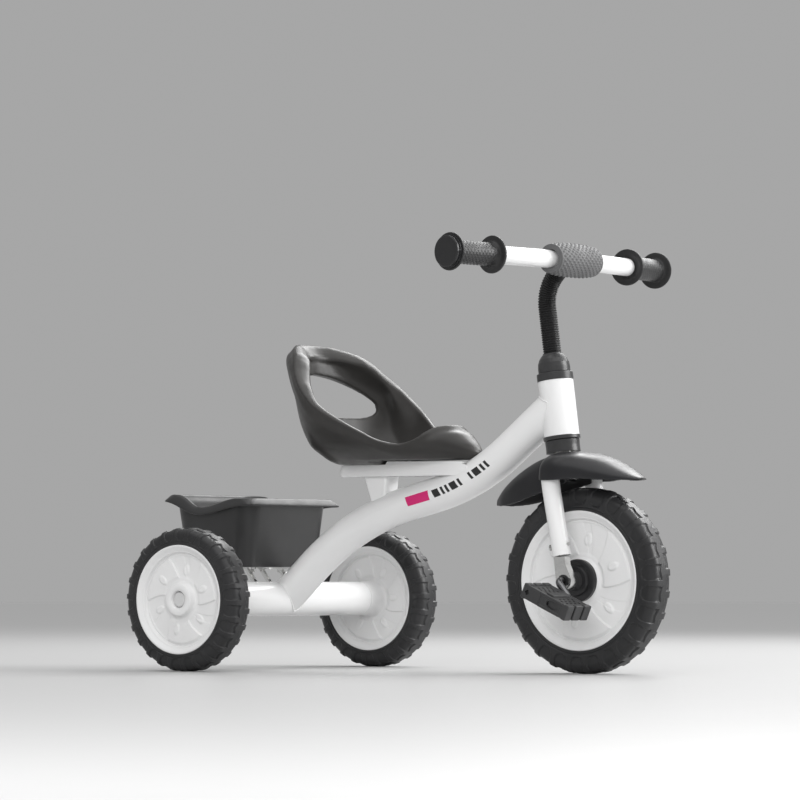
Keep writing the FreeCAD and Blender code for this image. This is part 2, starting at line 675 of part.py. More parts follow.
# ------------------------------------------------------------- steering
turned("steerer_tube", "XZ_Plane", [
    (d["steerer_bore"], -57.0), (d["steerer_radius"], -57.0), (d["steerer_radius"], 100.0), (d["steerer_bore"], 100.0)],
    **steer(0))
turned("lower_headset_cup", "XZ_Plane", [
    (SB, -21.9), (23.3, -21.9), (23.0, -13.0), (23.4, -5.6), (SB, -5.6)], **steer(0),
    rounds=[(ring_at(23.4, -5.6, axis="z"), 1.0)])
turned("headset_cap", "XZ_Plane", [
    (SB, 86.8), (21.7, 86.8), (21.8, 94.0), (21.1, 100.0), (18.9, 105.6), (16.0, 109.6), (13.4, 112.2), (13.2, 113.3),
    (d["stem_radius"] + 0.1, 113.3), (d["stem_radius"] + 0.1, 101.0), (SB, 101.0)], **steer(0),
    rounds=[(ring_at(21.7, 86.8, axis="z"), 0.6)])

# Stem: straight up out of the head, then curving forward to the bar.
ux, uz = -math.sin(math.radians(RAKE)), math.cos(math.radians(RAKE))


def loc(x, z):
    """Rear-axle x,z of a point given beside (x) and along (z) the steering axis."""
    return HX + x * uz + z * ux, HZ - x * ux + z * uz


# The stem's own body sits on the steering axis, so its path is in that frame.
bx_l = (n["bar_x"] - HX) * uz + (n["bar_z"] - HZ) * -ux
bz_l = (n["bar_x"] - HX) * ux + (n["bar_z"] - HZ) * uz
stem_path = [(0.0, 30.0), (0.0, 211.0), (bx_l, bz_l)]
stem = pipe("stem_run", "XZ_Plane", stem_path, [55.0], d["stem_radius"], d["stem_radius"] - 1.5, **steer(0))
a = math.radians(n["bar_sweep_deg"])
bh = n["bar_half"]
bar_pts = [(-bh * math.sin(a), -bh * math.cos(a)), (0.0, 0.0), (-bh * math.sin(a), bh * math.cos(a))]
bar_space = pipe("bar_space_run", "XY_Plane", bar_pts, [420.0], d["bar_radius"], None, d["bar_x"], 0.0, d["bar_z"])
final(cut("stem_mitred", stem, bar_space), "stem_tube")
sleeve_path = [(0.0, 113.6), (0.0, 211.0), (bx_l, bz_l)]
sl = pipe("sleeve_run", "XZ_Plane", sleeve_path, [55.0], d["sleeve_radius"], d["stem_radius"] + 0.1, **steer(0))
pad_space = ycyl("pad_space", 22.0, -40.0, D(40, "40"), d["bar_x"], d["bar_z"])
final(cut("sleeve_trimmed", sl, pad_space), "stem_sleeve")

# Handlebar: one tube, swept back from the middle.
hb = pipe("handlebar_run", "XY_Plane", bar_pts, [420.0], d["bar_radius"], d["bar_radius"] - d["bar_wall"],
          d["bar_x"], 0.0, d["bar_z"])
final(hb, "handlebar_tube")

# Bar pad: barrel with flat ends, split over the stem.
b = new_body("bar_pad_body", d["bar_x"], 0.0, d["bar_z"])
s = polygon(sketch(b, "XY_Plane"), [
    (0.0, -d["pad_half"]), (19.5, -d["pad_half"]), (22.0, 5 - d["pad_half"]), (d["pad_radius"], 14 - d["pad_half"]),
    (d["pad_radius"], d["pad_half"] - 14), (22.0, d["pad_half"] - 5), (19.5, d["pad_half"]), (0.0, d["pad_half"])])
f = revolve(b, s)
pad_cope = pipe("pad_cope_run", "XZ_Plane", stem_path, [55.0], d["sleeve_radius"] + 0.2, None, **steer(0))
pad_bore = pipe("pad_bore_run", "XY_Plane", bar_pts, [420.0], d["bar_radius"] + 0.1, None, d["bar_x"], 0.0, d["bar_z"])
final(cut("bar_pad_split", b, fuse("pad_tools", [pad_cope, pad_bore])), "bar_pad")

for side, tag, ang in ((-1, "right", -n["bar_sweep_deg"]), (1, "left", n["bar_sweep_deg"])):
    g0, g1, fr, gr = d["grip_inner_at"], d["grip_outer_at"], d["flange_radius"], d["grip_radius"]
    bore = d["bar_radius"] + 0.05
    pts = [(bore, g0), (fr - 7, g0), (fr, g0 + 1.6), (fr, g0 + 3.6), (fr - 6, g0 + 5.0), (gr + 0.6, g0 + 8), (gr, g0 + 12),
           (gr, g1 - 6), (fr - 5, g1 - 4.2), (fr, g1 - 2.6), (fr, g1), (bore, g1)]
    if side < 0:
        pts = [(r_, -y_) for r_, y_ in pts]
    turned("grip_" + tag, "XY_Plane", pts, d["bar_x"], 0.0, d["bar_z"], V(0, 0, 1), ang)
    pts = [(0.0, g1 + 0.1), (22.6, g1 + 0.1), (22.6, g1 + 2.2), (21.0, g1 + 2.4), (21.0, g1 + 6.2), (19.6, g1 + 7.2),
           (0.0, g1 + 7.2)]
    if side < 0:
        pts = [(r_, -y_) for r_, y_ in pts]
    turned("bar_end_cap_" + tag, "XY_Plane", pts, d["bar_x"], 0.0, d["bar_z"], V(0, 0, 1), ang)

# Fork: crown plate across the foot of the steerer, two raked legs.
b = new_body("fork_crown_body", d["head_base_x"], 0.0, d["head_base_z"], AX, -RAKE)
s = polygon(sketch(b, "XY_Plane", at_z(-57.0)), [(-14.0, -30.0), (1.0, -57.0), (16.0, -57.0), (24.0, -30.0),
                                                 (24.0, 30.0), (16.0, 57.0), (1.0, 57.0), (-14.0, 30.0)])
circle(s, 0.0, 0.0, d["steerer_radius"])
f = pad(b, s, 8.0)
final(b, "fork_crown")

leg_pts = [(490.2, 300.0), (496.0, 250.0), (514.0, 157.5)]
crown_box = box("leg_top_trim", 120.0, 200.0, 60.0, D(HX - 60 * uz - 57.1 * ux, "%.4f" % (HX - 60 * uz - 57.1 * ux)), -100.0,
                D(HZ + 60 * ux - 57.1 * uz, "%.4f" % (HZ + 60 * ux - 57.1 * uz)), AX, -RAKE)
for side, tag in ((-1, "right"), (1, "left")):
    leg = pipe("leg_run_" + tag, "XZ_Plane", leg_pts, [300.0], d["leg_radius"], d["leg_radius"] - d["leg_wall"],
               0.0, side * d["leg_y"], 0.0)
    bolt_hole = cyl("leg_bolt_hole_" + tag, 2.5, 60.0, 511.3 - 30 * math.cos(math.radians(11.1)), side * n["leg_y"],
                    171.0 - 30 * math.sin(math.radians(11.1)), AX, 90 - 11.1)
    final(cut("leg_cut_" + tag, leg, fuse("leg_tools_" + tag, [crown_box, bolt_hole])), "fork_leg_" + tag)

# Bolts through the legs, clamping the dropouts.
lb = []
for side, tag in ((-1, "right"), (1, "left")):
    ca, sa = math.cos(math.radians(11.1)), math.sin(math.radians(11.1))
    lb.append(fuse("leg_bolt_" + tag, [
        cyl("leg_shank_" + tag, 2.4, 30.0, 511.3 - 15.0 * ca, side * n["leg_y"], 171.0 - 15.0 * sa, AX, 90 - 11.1),
        cyl("leg_nut_" + tag, 4.2, 3.0, 511.3 - 16.2 * ca, side * n["leg_y"], 171.0 - 16.2 * sa, AX, 90 - 11.1)]))
final(group("leg_bolt_set", lb), "fork_leg_bolts")

# Dropouts: bright pressed channels, open towards the wheel, rounded round the axle.
FX, FZ = n["front_hub_x"], n["front_radius"]


def dropout_outline(s, r, top, grow):
    """Strap from the leg down to a round eye of radius r."""
    xl, xr = 513.6 - 9.3 - grow, 513.6 + 8.6 + grow
    a0 = math.radians(200.0)
    a1 = math.radians(20.0)
    p0 = V(FX + r * math.cos(a0), FZ + r * math.sin(a0), 0)
    p1 = V(FX + r * math.cos(a1), FZ + r * math.sin(a1), 0)
    pm = V(FX + r * math.cos(math.radians(-70.0)), FZ + r * math.sin(math.radians(-70.0)), 0)
    tl, tr = V(xl - 3.0, top, 0), V(xr - 3.0, top, 0)
    kl, kr = V(xl + 1.0, 149.0, 0), V(xr + 1.5, 146.0, 0)
    s.addGeometry([Part.Arc(p0, pm, p1), Part.LineSegment(p1, kr), Part.LineSegment(kr, tr),
                   Part.LineSegment(tr, tl), Part.LineSegment(tl, kl), Part.LineSegment(kl, p0)], False)
    return s


bushes = []
for side, tag in ((-1, "right"), (1, "left")):
    b = new_body("dropout_body_" + tag, 0.0, 0.0, 0.0)
    # the channel's web faces out at 56, its flanges reach in to 44
    y_far = 56.0 * side
    s = dropout_outline(sketch(b, "XZ_Plane", FreeCAD.Placement(V(0, 0, -y_far), FreeCAD.Rotation())), 12.5, 182.0, 0.0)
    pad(b, s, 12.0, rev=(side < 0))
    s = dropout_outline(sketch(b, "XZ_Plane", FreeCAD.Placement(V(0, 0, -(y_far - 2.0 * side)), FreeCAD.Rotation())), 10.6, 184.0, -1.9)
    pocket(b, s, 14.0, rev=(side > 0))
    s = circle(sketch(b, "XZ_Plane"), d["front_hub_x"], d["front_radius"], 8.0)
    pocket(b, s, 140.0, mid=True)
    lh = cyl("dropout_bolt_hole_" + tag, 2.5, 60.0, 511.3 - 30 * math.cos(math.radians(11.1)), side * n["leg_y"],
             171.0 - 30 * math.sin(math.radians(11.1)), AX, 90 - 11.1)
    inside = pipe("dropout_keep_" + tag, "XZ_Plane", leg_pts, [300.0], d["leg_radius"] - d["leg_wall"], None,
                  0.0, side * d["leg_y"], 0.0)
    above = cut("dropout_above_" + tag, box("dropout_box_" + tag, 60.0, 40.0, 40.0, 484.0, side * n["leg_y"] - 20.0, 156.0), inside)
    final(cut("dropout_trim_" + tag, b, fuse("dropout_tools_" + tag, [lh, above])), "dropout_" + tag)
    lo, hi = (44.2, 57.6)
    y0, y1 = (-hi, -lo) if side < 0 else (lo, hi)
    bushes.append(cut("front_bush_" + tag, ycyl("front_bush_blank_" + tag, 8.0, D(y0, "(%.3f)" % y0), D(y1, "(%.3f)" % y1), d["front_hub_x"], d["front_radius"]),
                      ycyl("front_bush_bore_" + tag, d["crank_radius"] + d["running_fit"], D(y0 - 1, "(%.3f)" % (y0 - 1)), D(y1 + 1, "(%.3f)" % (y1 + 1)), d["front_hub_x"], d["front_radius"])))
final(group("front_bush_pair", bushes), "front_axle_bushes")

# Fender: crown cover with a long front leaf and a creased rear leaf.
FEND_FRONT = [  # x, half width, lower edge, top
    (478.6, 50.0, 259.0, 290.5), (481.0, 56.5, 258.8, 292.0), (485.0, 62.0, 258.5, 293.8), (490.0, 65.6, 258.3, 295.6),
    (497.0, 67.6, 258.2, 296.8), (508.0, 68.0, 258.2, 297.0),
    (520.0, 65.0, 259.0, 296.0), (533.0, 58.5, 260.0, 293.8), (547.0, 51.0, 260.0, 290.6),
    (562.0, 44.5, 258.8, 285.6), (578.0, 37.0, 258.2, 278.0), (592.0, 28.0, 258.4, 270.4), (603.0, 18.0, 258.4, 264.4),
    (610.0, 9.5, 257.8, 261.4)]
FEND_REAR = [
    (373.0, 5.0, 226.2, 236.0), (384.0, 13.0, 225.2, 248.0), (402.0, 21.0, 224.6, 262.8), (424.0, 27.0, 226.0, 276.6),
    (446.0, 30.0, 233.0, 287.0), (468.0, 31.5, 243.0, 293.0), (490.0, 32.0, 251.0, 294.0), (506.0, 32.0, 255.5, 293.0)]


def fender_section(x, w_, zl, zt_, power, t_):
    """Hat section: smooth outside, inside offset by the wall."""
    def arc(wd, lo, hi):
        pts = []
        for k in range(13):
            th = math.pi * k / 12
            cc, ss = math.cos(th), math.sin(th)
            y_ = wd * math.copysign(abs(cc) ** (2 / power), cc)
            z_ = lo + (hi - lo) * abs(ss) ** (2 / power)
            pts.append(V(x, y_, z_))
        return pts
    o = arc(w_, zl, zt_)
    hh = zt_ - zl
    ti = min(t_, hh * 0.4, w_ * 0.4)
    i_ = arc(w_ - ti, zl, zt_ - ti)
    co = Part.BSplineCurve()
    co.interpolate(o)
    ci = Part.BSplineCurve()
    ci.interpolate(i_[::-1])
    return Part.Wire([co.toShape(), Part.LineSegment(o[-1], i_[-1]).toShape(), ci.toShape(),
                      Part.LineSegment(i_[0], o[0]).toShape()])


fw_ = n["fender_wall"]
front_leaf = Part.makeLoft([fender_section(x, w_, zl, z_, 3.2 if x < 540 else 2.5, fw_) for x, w_, zl, z_ in FEND_FRONT], True, False)
rear_leaf = Part.makeLoft([fender_section(x, w_, zl, z_, 2.3, fw_) for x, w_, zl, z_ in FEND_REAR], True, False)
# the crown cover is closed behind the legs by a wall round the rear leaf


def filled(x, w_, zl, zt_, power):
    o = fender_section(x, w_, zl, zt_, power, 1.0).Edges[0]
    e = o.Vertexes
    return Part.Wire([o, Part.LineSegment(e[-1].Point, e[0].Point).toShape()])


wall = Part.makeLoft([filled(478.2, 49.5, 259.0, 290.4, 3.2), filled(480.8, 56.0, 258.8, 291.9, 3.2)], True, False)
wall = wall.cut(Part.makeLoft([filled(470.0, 29.5, 240.0, 290.5, 2.3), filled(490.0, 29.5, 240.0, 290.5, 2.3)], True, False))
crown_axis = FreeCAD.Placement(V(HX, 0, HZ), FreeCAD.Rotation(AX, -RAKE))
crown_space = Part.Face(Part.makePolygon([V(px_, py_, -57.4) for px_, py_ in (
    (-14.7, -30.4), (0.5, -57.7), (16.4, -57.7), (24.7, -30.4), (24.7, 30.4), (16.4, 57.7), (0.5, 57.7), (-14.7, 30.4),
    (-14.7, -30.4))])).extrude(V(0, 0, 8.9))
crown_space.Placement = crown_axis
rear_leaf = rear_leaf.cut(crown_space)
fender = front_leaf.fuse(rear_leaf).fuse(wall)
seatring = Part.makeCylinder(23.6, 60, V(0, 0, -21.95))
seatring.Placement = crown_axis
bore = Part.makeCylinder(n["steerer_radius"] + 0.3, 90, V(0, 0, -80))
bore.Placement = crown_axis
fender = fender.cut(seatring).cut(bore).cut(crown_space)
for side in (-1, 1):
    legspace = Part.makeCylinder(n["leg_radius"] + 0.5, 190, V(0, 0, 0))
    legspace.Placement = FreeCAD.Placement(V(518.6, side * n["leg_y"], 134.0), FreeCAD.Rotation(V(0, 0, 1), V(-19.7, 0, 100.5)))
    fender = fender.cut(legspace.cut(Part.makeBox(400, 400, 100, V(300, -200, 266.0))))
fs = sorted(fender.Solids, key=lambda q: -q.Volume)
fobj = doc.addObject("Part::Feature", "fender_shell")
fobj.Shape = fs[0]
fobj.Placement = FreeCAD.Placement(SHIFT, FreeCAD.Rotation())
final(fobj, "fender")

# ---------------------------------------------------------- front wheel
W = d["wheel_half_width"]


def tyre(label, radius, disc_r, y):
    r_, q = d[radius], d[disc_r]
    turned(label, "XY_Plane", [
        (q, -W + 1.5), (q + 1.5, -W), (r_ - 9.5, -W), (r_ - 5.5, -W + 2.2), (r_ - 1.6, -W + 6.0), (r_, -W + 10.5),
        (r_, W - 10.5), (r_ - 1.6, W - 6.0), (r_ - 5.5, W - 2.2), (r_ - 9.5, W), (q + 1.5, W), (q, W - 1.5)],
        0.0 if radius.startswith("rear") else d["front_hub_x"], y, r_)


tyre("front_tyre", "front_radius", "front_disc_radius", 0.0)
for side, tag in ((-1, "right"), (1, "left")):
    q = d["front_disc_radius"] - 0.1
    pts = [(9.0, 0.15), (14.0, 0.15), (14.0, 15.0), (q - 4.5, 15.0), (q - 4.5, 2.0), (q, 2.0), (q, 21.8), (q - 2.0, 22.2),
           (q - 8.0, 19.8), (q - 16.0, 18.0), (20.0, 18.0), (20.0, 19.0), (9.0, 19.0)]
    turned("front_disc_" + tag, "XY_Plane", [(r_, side * y_) for r_, y_ in pts], d["front_hub_x"], 0.0, d["front_radius"])
    br_ = d["front_boss_radius"]
    pts = [(d["crank_radius"], 3.0), (8.9, 3.0), (8.9, 19.1), (br_, 19.1), (br_, 24.6), (br_ - 2.0, 25.8), (21.0, 26.2), (20.0, 30.5),
           (18.6, 31.4), (14.0, 31.8), (12.6, 36.0), (11.8, 43.0), (10.8, 43.7), (d["crank_radius"], 43.7)]
    turned("front_hub_" + tag, "XY_Plane", [(r_, side * y_) for r_, y_ in pts], d["front_hub_x"], 0.0, d["front_radius"])

# One-piece crank: spindle, arm, axle, opposite arm, opposite spindle.
cl, cy, ce = n["crank_length"], n["crank_y"], n["crank_end_y"]
crank_pts = [(cl, -ce), (cl, -cy), (0.0, -cy), (0.0, cy), (-cl, cy), (-cl, ce)]
ck = pipe("crank_body", "XY_Plane", crank_pts, [9.0, 9.0, 9.0, 9.0], d["crank_radius"], None,
          d["front_hub_x"], 0.0, d["front_radius"], AX, n["crank_angle_deg"])
final(ck, "crankshaft")

# --------------------------------------------------------------- pedals
ca_, sa_ = math.cos(math.radians(n["crank_angle_deg"])), math.sin(math.radians(n["crank_angle_deg"]))
nuts = []
for side, tag in ((-1, "right"), (1, "left")):
    cx = FX + (-side) * cl * ca_
    cz = FZ - (-side) * cl * sa_
    b = new_body("pedal_body_" + tag, D(cx, "%.5f" % cx), 0.0, cz, AX, n["pedal_tilt_deg"])
    L, T = d["pedal_length"] * 0.5, d["pedal_height"] * 0.5
    y_in, y_out = n["pedal_in_y"], n["pedal_out_y"]
    out = [(-L, -T + 5), (-L + 4, -T), (L - 4, -T), (L, -T + 5), (L, T - 5), (L - 4, T - 1.5), (7.0, T - 1.5), (5.0, T), (-5.0, T),
           (-7.0, T - 1.5), (-L + 4, T - 1.5), (-L, T - 5)]
    s = polygon(sketch(b, "XZ_Plane", FreeCAD.Placement(V(0, 0, -side * y_out), FreeCAD.Rotation())), out)
    pad(b, s, d["pedal_out_y"] - d["pedal_in_y"], rev=(side < 0))
    s = circle(sketch(b, "XZ_Plane"), 0.0, 0.0, d["crank_radius"] + d["running_fit"])
    pocket(b, s, 300.0, mid=True)
    # recess in the outer end, round the spindle's push nut
    s = sketch(b, "XZ_Plane", FreeCAD.Placement(V(0, 0, -side * y_out), FreeCAD.Rotation()))
    polygon(s, [(-16.0, -4.0), (-12.0, -8.0), (12.0, -8.0), (16.0, -4.0), (16.0, 4.0), (12.0, 8.0), (-12.0, 8.0), (-16.0, 4.0)])
    pocket(b, s, 8.0, rev=(side > 0))
    # two open windows front and rear of the spindle boss
    s = sketch(b, "XY_Plane")
    y_a, y_b = side * 88.0, side * 120.0
    y_a, y_b = min(y_a, y_b), max(y_a, y_b)
    final(b, "pedal_" + tag)
    y0, y1 = sorted((side * 124.5, side * 126.7))
    ring = cut("pedal_nut_ring_" + tag, cyl("pedal_nut_blank_" + tag, 7.4, 2.2, D(cx, "%.5f" % cx), D(y0, "(%.3f)" % y0), cz, V(1, 0, 0), -90),
               cyl("pedal_nut_bore_" + tag, d["crank_radius"], 6.0, D(cx, "%.5f" % cx), D(y0 - 1, "(%.3f)" % (y0 - 1)), cz, V(1, 0, 0), -90))
    nuts.append(ring)
final(group("pedal_nut_pair", nuts), "pedal_push_nuts")

# ---------------------------------------------------------- rear wheels
for side, tag in ((-1, "right"), (1, "left")):
    tyre("rear_tyre_" + tag, "rear_radius", "rear_disc_radius", side * d["rear_track_half"])
    q = d["rear_disc_radius"] - 0.1
    rb = d["axle_rod_radius"] + d["running_fit"]
    pts = [(rb, 0.15), (14.0, 0.15), (14.0, 15.0), (q - 4.5, 15.0), (q - 4.5, 2.0), (q, 2.0), (q, 21.8), (q - 2.0, 22.2),
           (q - 8.0, 19.8), (q - 14.0, 18.0), (22.0, 18.0), (22.0, 21.6), (21.2, 22.4), (12.6, 22.4), (12.0, 21.6),
           (11.6, 14.3), (rb, 14.3)]
    turned("rear_disc_outer_" + tag, "XY_Plane", [(r_, side * y_) for r_, y_ in pts], 0.0, side * d["rear_track_half"], AZ)
    pts = [(rb, -0.15), (14.0, -0.15), (14.0, -15.0), (q - 4.5, -15.0), (q - 4.5, -2.0), (q, -2.0), (q, -21.8), (q - 2.0, -22.2),
           (q - 8.0, -19.8), (q - 14.0, -18.0), (24.0, -18.0), (24.0, -42.2), (23.0, -43.2), (rb, -43.2)]
    turned("rear_disc_inner_" + tag, "XY_Plane", [(r_, side * y_) for r_, y_ in pts], 0.0, side * d["rear_track_half"], AZ)

doc.recompute()
bad = []
for o in doc.Objects:
    if "Invalid" in o.State or "Error" in o.State:
        bad.append("%s state %s" % (o.Name, o.State))
for o in FINAL:
    sh = o.Shape
    if sh.isNull() or not sh.isValid() or not sh.Solids:
        bad.append("%s shape null, invalid or without a solid" % o.Label)
if bad:
    raise SystemExit("\n".join(bad))
os.makedirs("parts", exist_ok=True)
seen = {}
for o in FINAL:
    if o.Label in seen:
        raise SystemExit("two pieces named " + o.Label)
    seen[o.Label] = o
    o.Shape.exportStep("parts/%s.step" % o.Label)
    bbx = o.Shape.BoundBox
    print("%-24s %2d solids %10.1f mm3  x %.1f..%.1f y %.1f..%.1f z %.1f..%.1f" % (
        o.Label, len(o.Shape.Solids), o.Shape.Volume, bbx.XMin, bbx.XMax, bbx.YMin, bbx.YMax, bbx.ZMin, bbx.ZMax))
print(len(FINAL), "nodes")
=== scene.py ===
import bpy
import bmesh
import math
import numpy as np
from mathutils import Vector, Matrix


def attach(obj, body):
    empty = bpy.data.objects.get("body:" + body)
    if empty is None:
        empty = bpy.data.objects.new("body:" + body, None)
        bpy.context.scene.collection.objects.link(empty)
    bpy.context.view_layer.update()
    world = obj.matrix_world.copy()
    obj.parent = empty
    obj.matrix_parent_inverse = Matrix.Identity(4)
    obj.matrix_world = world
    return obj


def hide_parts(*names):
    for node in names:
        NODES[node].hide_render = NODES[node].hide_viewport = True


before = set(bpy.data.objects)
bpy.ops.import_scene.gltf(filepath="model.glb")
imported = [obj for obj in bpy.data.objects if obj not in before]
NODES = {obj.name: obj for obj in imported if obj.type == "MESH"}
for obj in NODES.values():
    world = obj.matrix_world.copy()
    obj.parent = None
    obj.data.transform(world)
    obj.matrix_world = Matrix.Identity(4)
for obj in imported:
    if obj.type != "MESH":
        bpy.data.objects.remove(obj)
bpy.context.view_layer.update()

XS = 250.4            # the rear axle sits this far behind the origin, mm
TAU = 2 * math.pi
rng = np.random.default_rng(7)


def mm(v):
    """Rear-axle coordinates in mm to the row frame in metres."""
    v = np.asarray(v, float).copy()
    v[..., 0] -= XS
    return v / 1000.0


def smooth(a, b, x):
    t = np.clip((np.asarray(x, float) - a) / (b - a), 0, 1)
    return t * t * (3 - 2 * t)


def lerp_table(table, x):
    t = np.asarray(table, float)
    return [np.interp(x, t[:, 0], t[:, k]) for k in range(1, t.shape[1])]


def spline_table(table, x):
    """Smooth (Catmull-Rom) interpolation of the table's columns at x."""
    t = np.asarray(table, float)
    xs = t[:, 0]
    x = np.clip(np.atleast_1d(np.asarray(x, float)), xs[0], xs[-1])
    i = np.clip(np.searchsorted(xs, x, side="right") - 1, 0, len(xs) - 2)
    h = xs[i + 1] - xs[i]
    u = (x - xs[i]) / h
    out = []
    for k in range(1, t.shape[1]):
        y = t[:, k]
        m = np.gradient(y, xs)
        h00, h10 = 2 * u**3 - 3 * u**2 + 1, u**3 - 2 * u**2 + u
        h01, h11 = -2 * u**3 + 3 * u**2, u**3 - u**2
        out.append(h00 * y[i] + h10 * h * m[i] + h01 * y[i + 1] + h11 * h * m[i + 1])
    return out


# ------------------------------------------------------------------ materials
def material(name, colour, rough, metal=0.0, coat=0.0, coat_rough=0.1, vary=0.04, grain=600.0,
             bump=0.02, rough_vary=0.08, bump2=0.0, grain2=90.0, wear=0.0, wear_colour=None, spec=0.5,
             sheen=0.0, streak=None):
    """Moulded or painted surface: mottled colour, roughness and fine surface grain, all from noise in object space."""
    m = bpy.data.materials.new(name)
    m.use_nodes = True
    nt = m.node_tree
    b = nt.nodes["Principled BSDF"]
    b.inputs["Metallic"].default_value = metal
    b.inputs["Specular IOR Level"].default_value = spec
    b.inputs["Coat Weight"].default_value = coat
    b.inputs["Coat Roughness"].default_value = coat_rough
    if sheen:
        b.inputs["Sheen Weight"].default_value = sheen
        b.inputs["Sheen Roughness"].default_value = 0.5
    tc = nt.nodes.new("ShaderNodeTexCoord")

    def noise(scale, detail=3.0, roughness=0.55, stretch=None):
        n = nt.nodes.new("ShaderNodeTexNoise")
        n.inputs["Scale"].default_value = scale
        n.inputs["Detail"].default_value = detail
        n.inputs["Roughness"].default_value = roughness
        if stretch:
            mp = nt.nodes.new("ShaderNodeMapping")
            mp.inputs["Scale"].default_value = stretch
            nt.links.new(tc.outputs["Object"], mp.inputs["Vector"])
            nt.links.new(mp.outputs["Vector"], n.inputs["Vector"])
        else:
            nt.links.new(tc.outputs["Object"], n.inputs["Vector"])
        return n

    def ramp(src, lo, hi, p0=0.35, p1=0.65):
        r = nt.nodes.new("ShaderNodeMapRange")
        r.inputs["From Min"].default_value = p0
        r.inputs["From Max"].default_value = p1
        r.inputs["To Min"].default_value = lo
        r.inputs["To Max"].default_value = hi
        nt.links.new(src, r.inputs["Value"])
        return r.outputs["Result"]

    c = np.array(colour, float)
    big = noise(14.0, 4.0)
    mix = nt.nodes.new("ShaderNodeMix")
    mix.data_type = "RGBA"
    mix.inputs[6].default_value = (*np.clip(c * (1 - vary), 0, 1), 1)
    mix.inputs[7].default_value = (*np.clip(c * (1 + vary), 0, 1), 1)
    nt.links.new(ramp(big.outputs["Fac"], 0, 1), mix.inputs[0])
    col = mix.outputs[2]
    if wear:
        # rubbed lighter or darker along edges, broken up by noise
        geo = nt.nodes.new("ShaderNodeNewGeometry")
        sp = noise(60.0, 5.0, 0.7)
        mul = nt.nodes.new("ShaderNodeMath")
        mul.operation = "MULTIPLY"
        nt.links.new(ramp(geo.outputs["Pointiness"], 0, 1, 0.53, 0.6), mul.inputs[0])
        nt.links.new(ramp(sp.outputs["Fac"], 0, wear, 0.4, 0.65), mul.inputs[1])
        m2 = nt.nodes.new("ShaderNodeMix")
        m2.data_type = "RGBA"
        m2.inputs[7].default_value = (*(wear_colour or tuple(np.clip(c * 1.6 + 0.02, 0, 1))), 1)
        nt.links.new(col, m2.inputs[6])
        nt.links.new(mul.outputs[0], m2.inputs[0])
        col = m2.outputs[2]
    nt.links.new(col, b.inputs["Base Color"])
    mid = noise(38.0, 5.0, 0.6, streak)
    nt.links.new(ramp(mid.outputs["Fac"], max(0.02, rough - rough_vary), rough + rough_vary), b.inputs["Roughness"])
    if bump:
        fine = noise(grain, 3.0, 0.6, streak)
        bp = nt.nodes.new("ShaderNodeBump")
        bp.inputs["Strength"].default_value = 1.0
        bp.inputs["Distance"].default_value = bump / 1000.0
        nt.links.new(fine.outputs["Fac"], bp.inputs["Height"])
        last = bp
        if bump2:
            wide = noise(grain2, 2.0, 0.5)
            bq = nt.nodes.new("ShaderNodeBump")
            bq.inputs["Strength"].default_value = 1.0
            bq.inputs["Distance"].default_value = bump2 / 1000.0
            nt.links.new(wide.outputs["Fac"], bq.inputs["Height"])
            nt.links.new(bp.outputs["Normal"], bq.inputs["Normal"])
            last = bq
        nt.links.new(last.outputs["Normal"], b.inputs["Normal"])
    return m


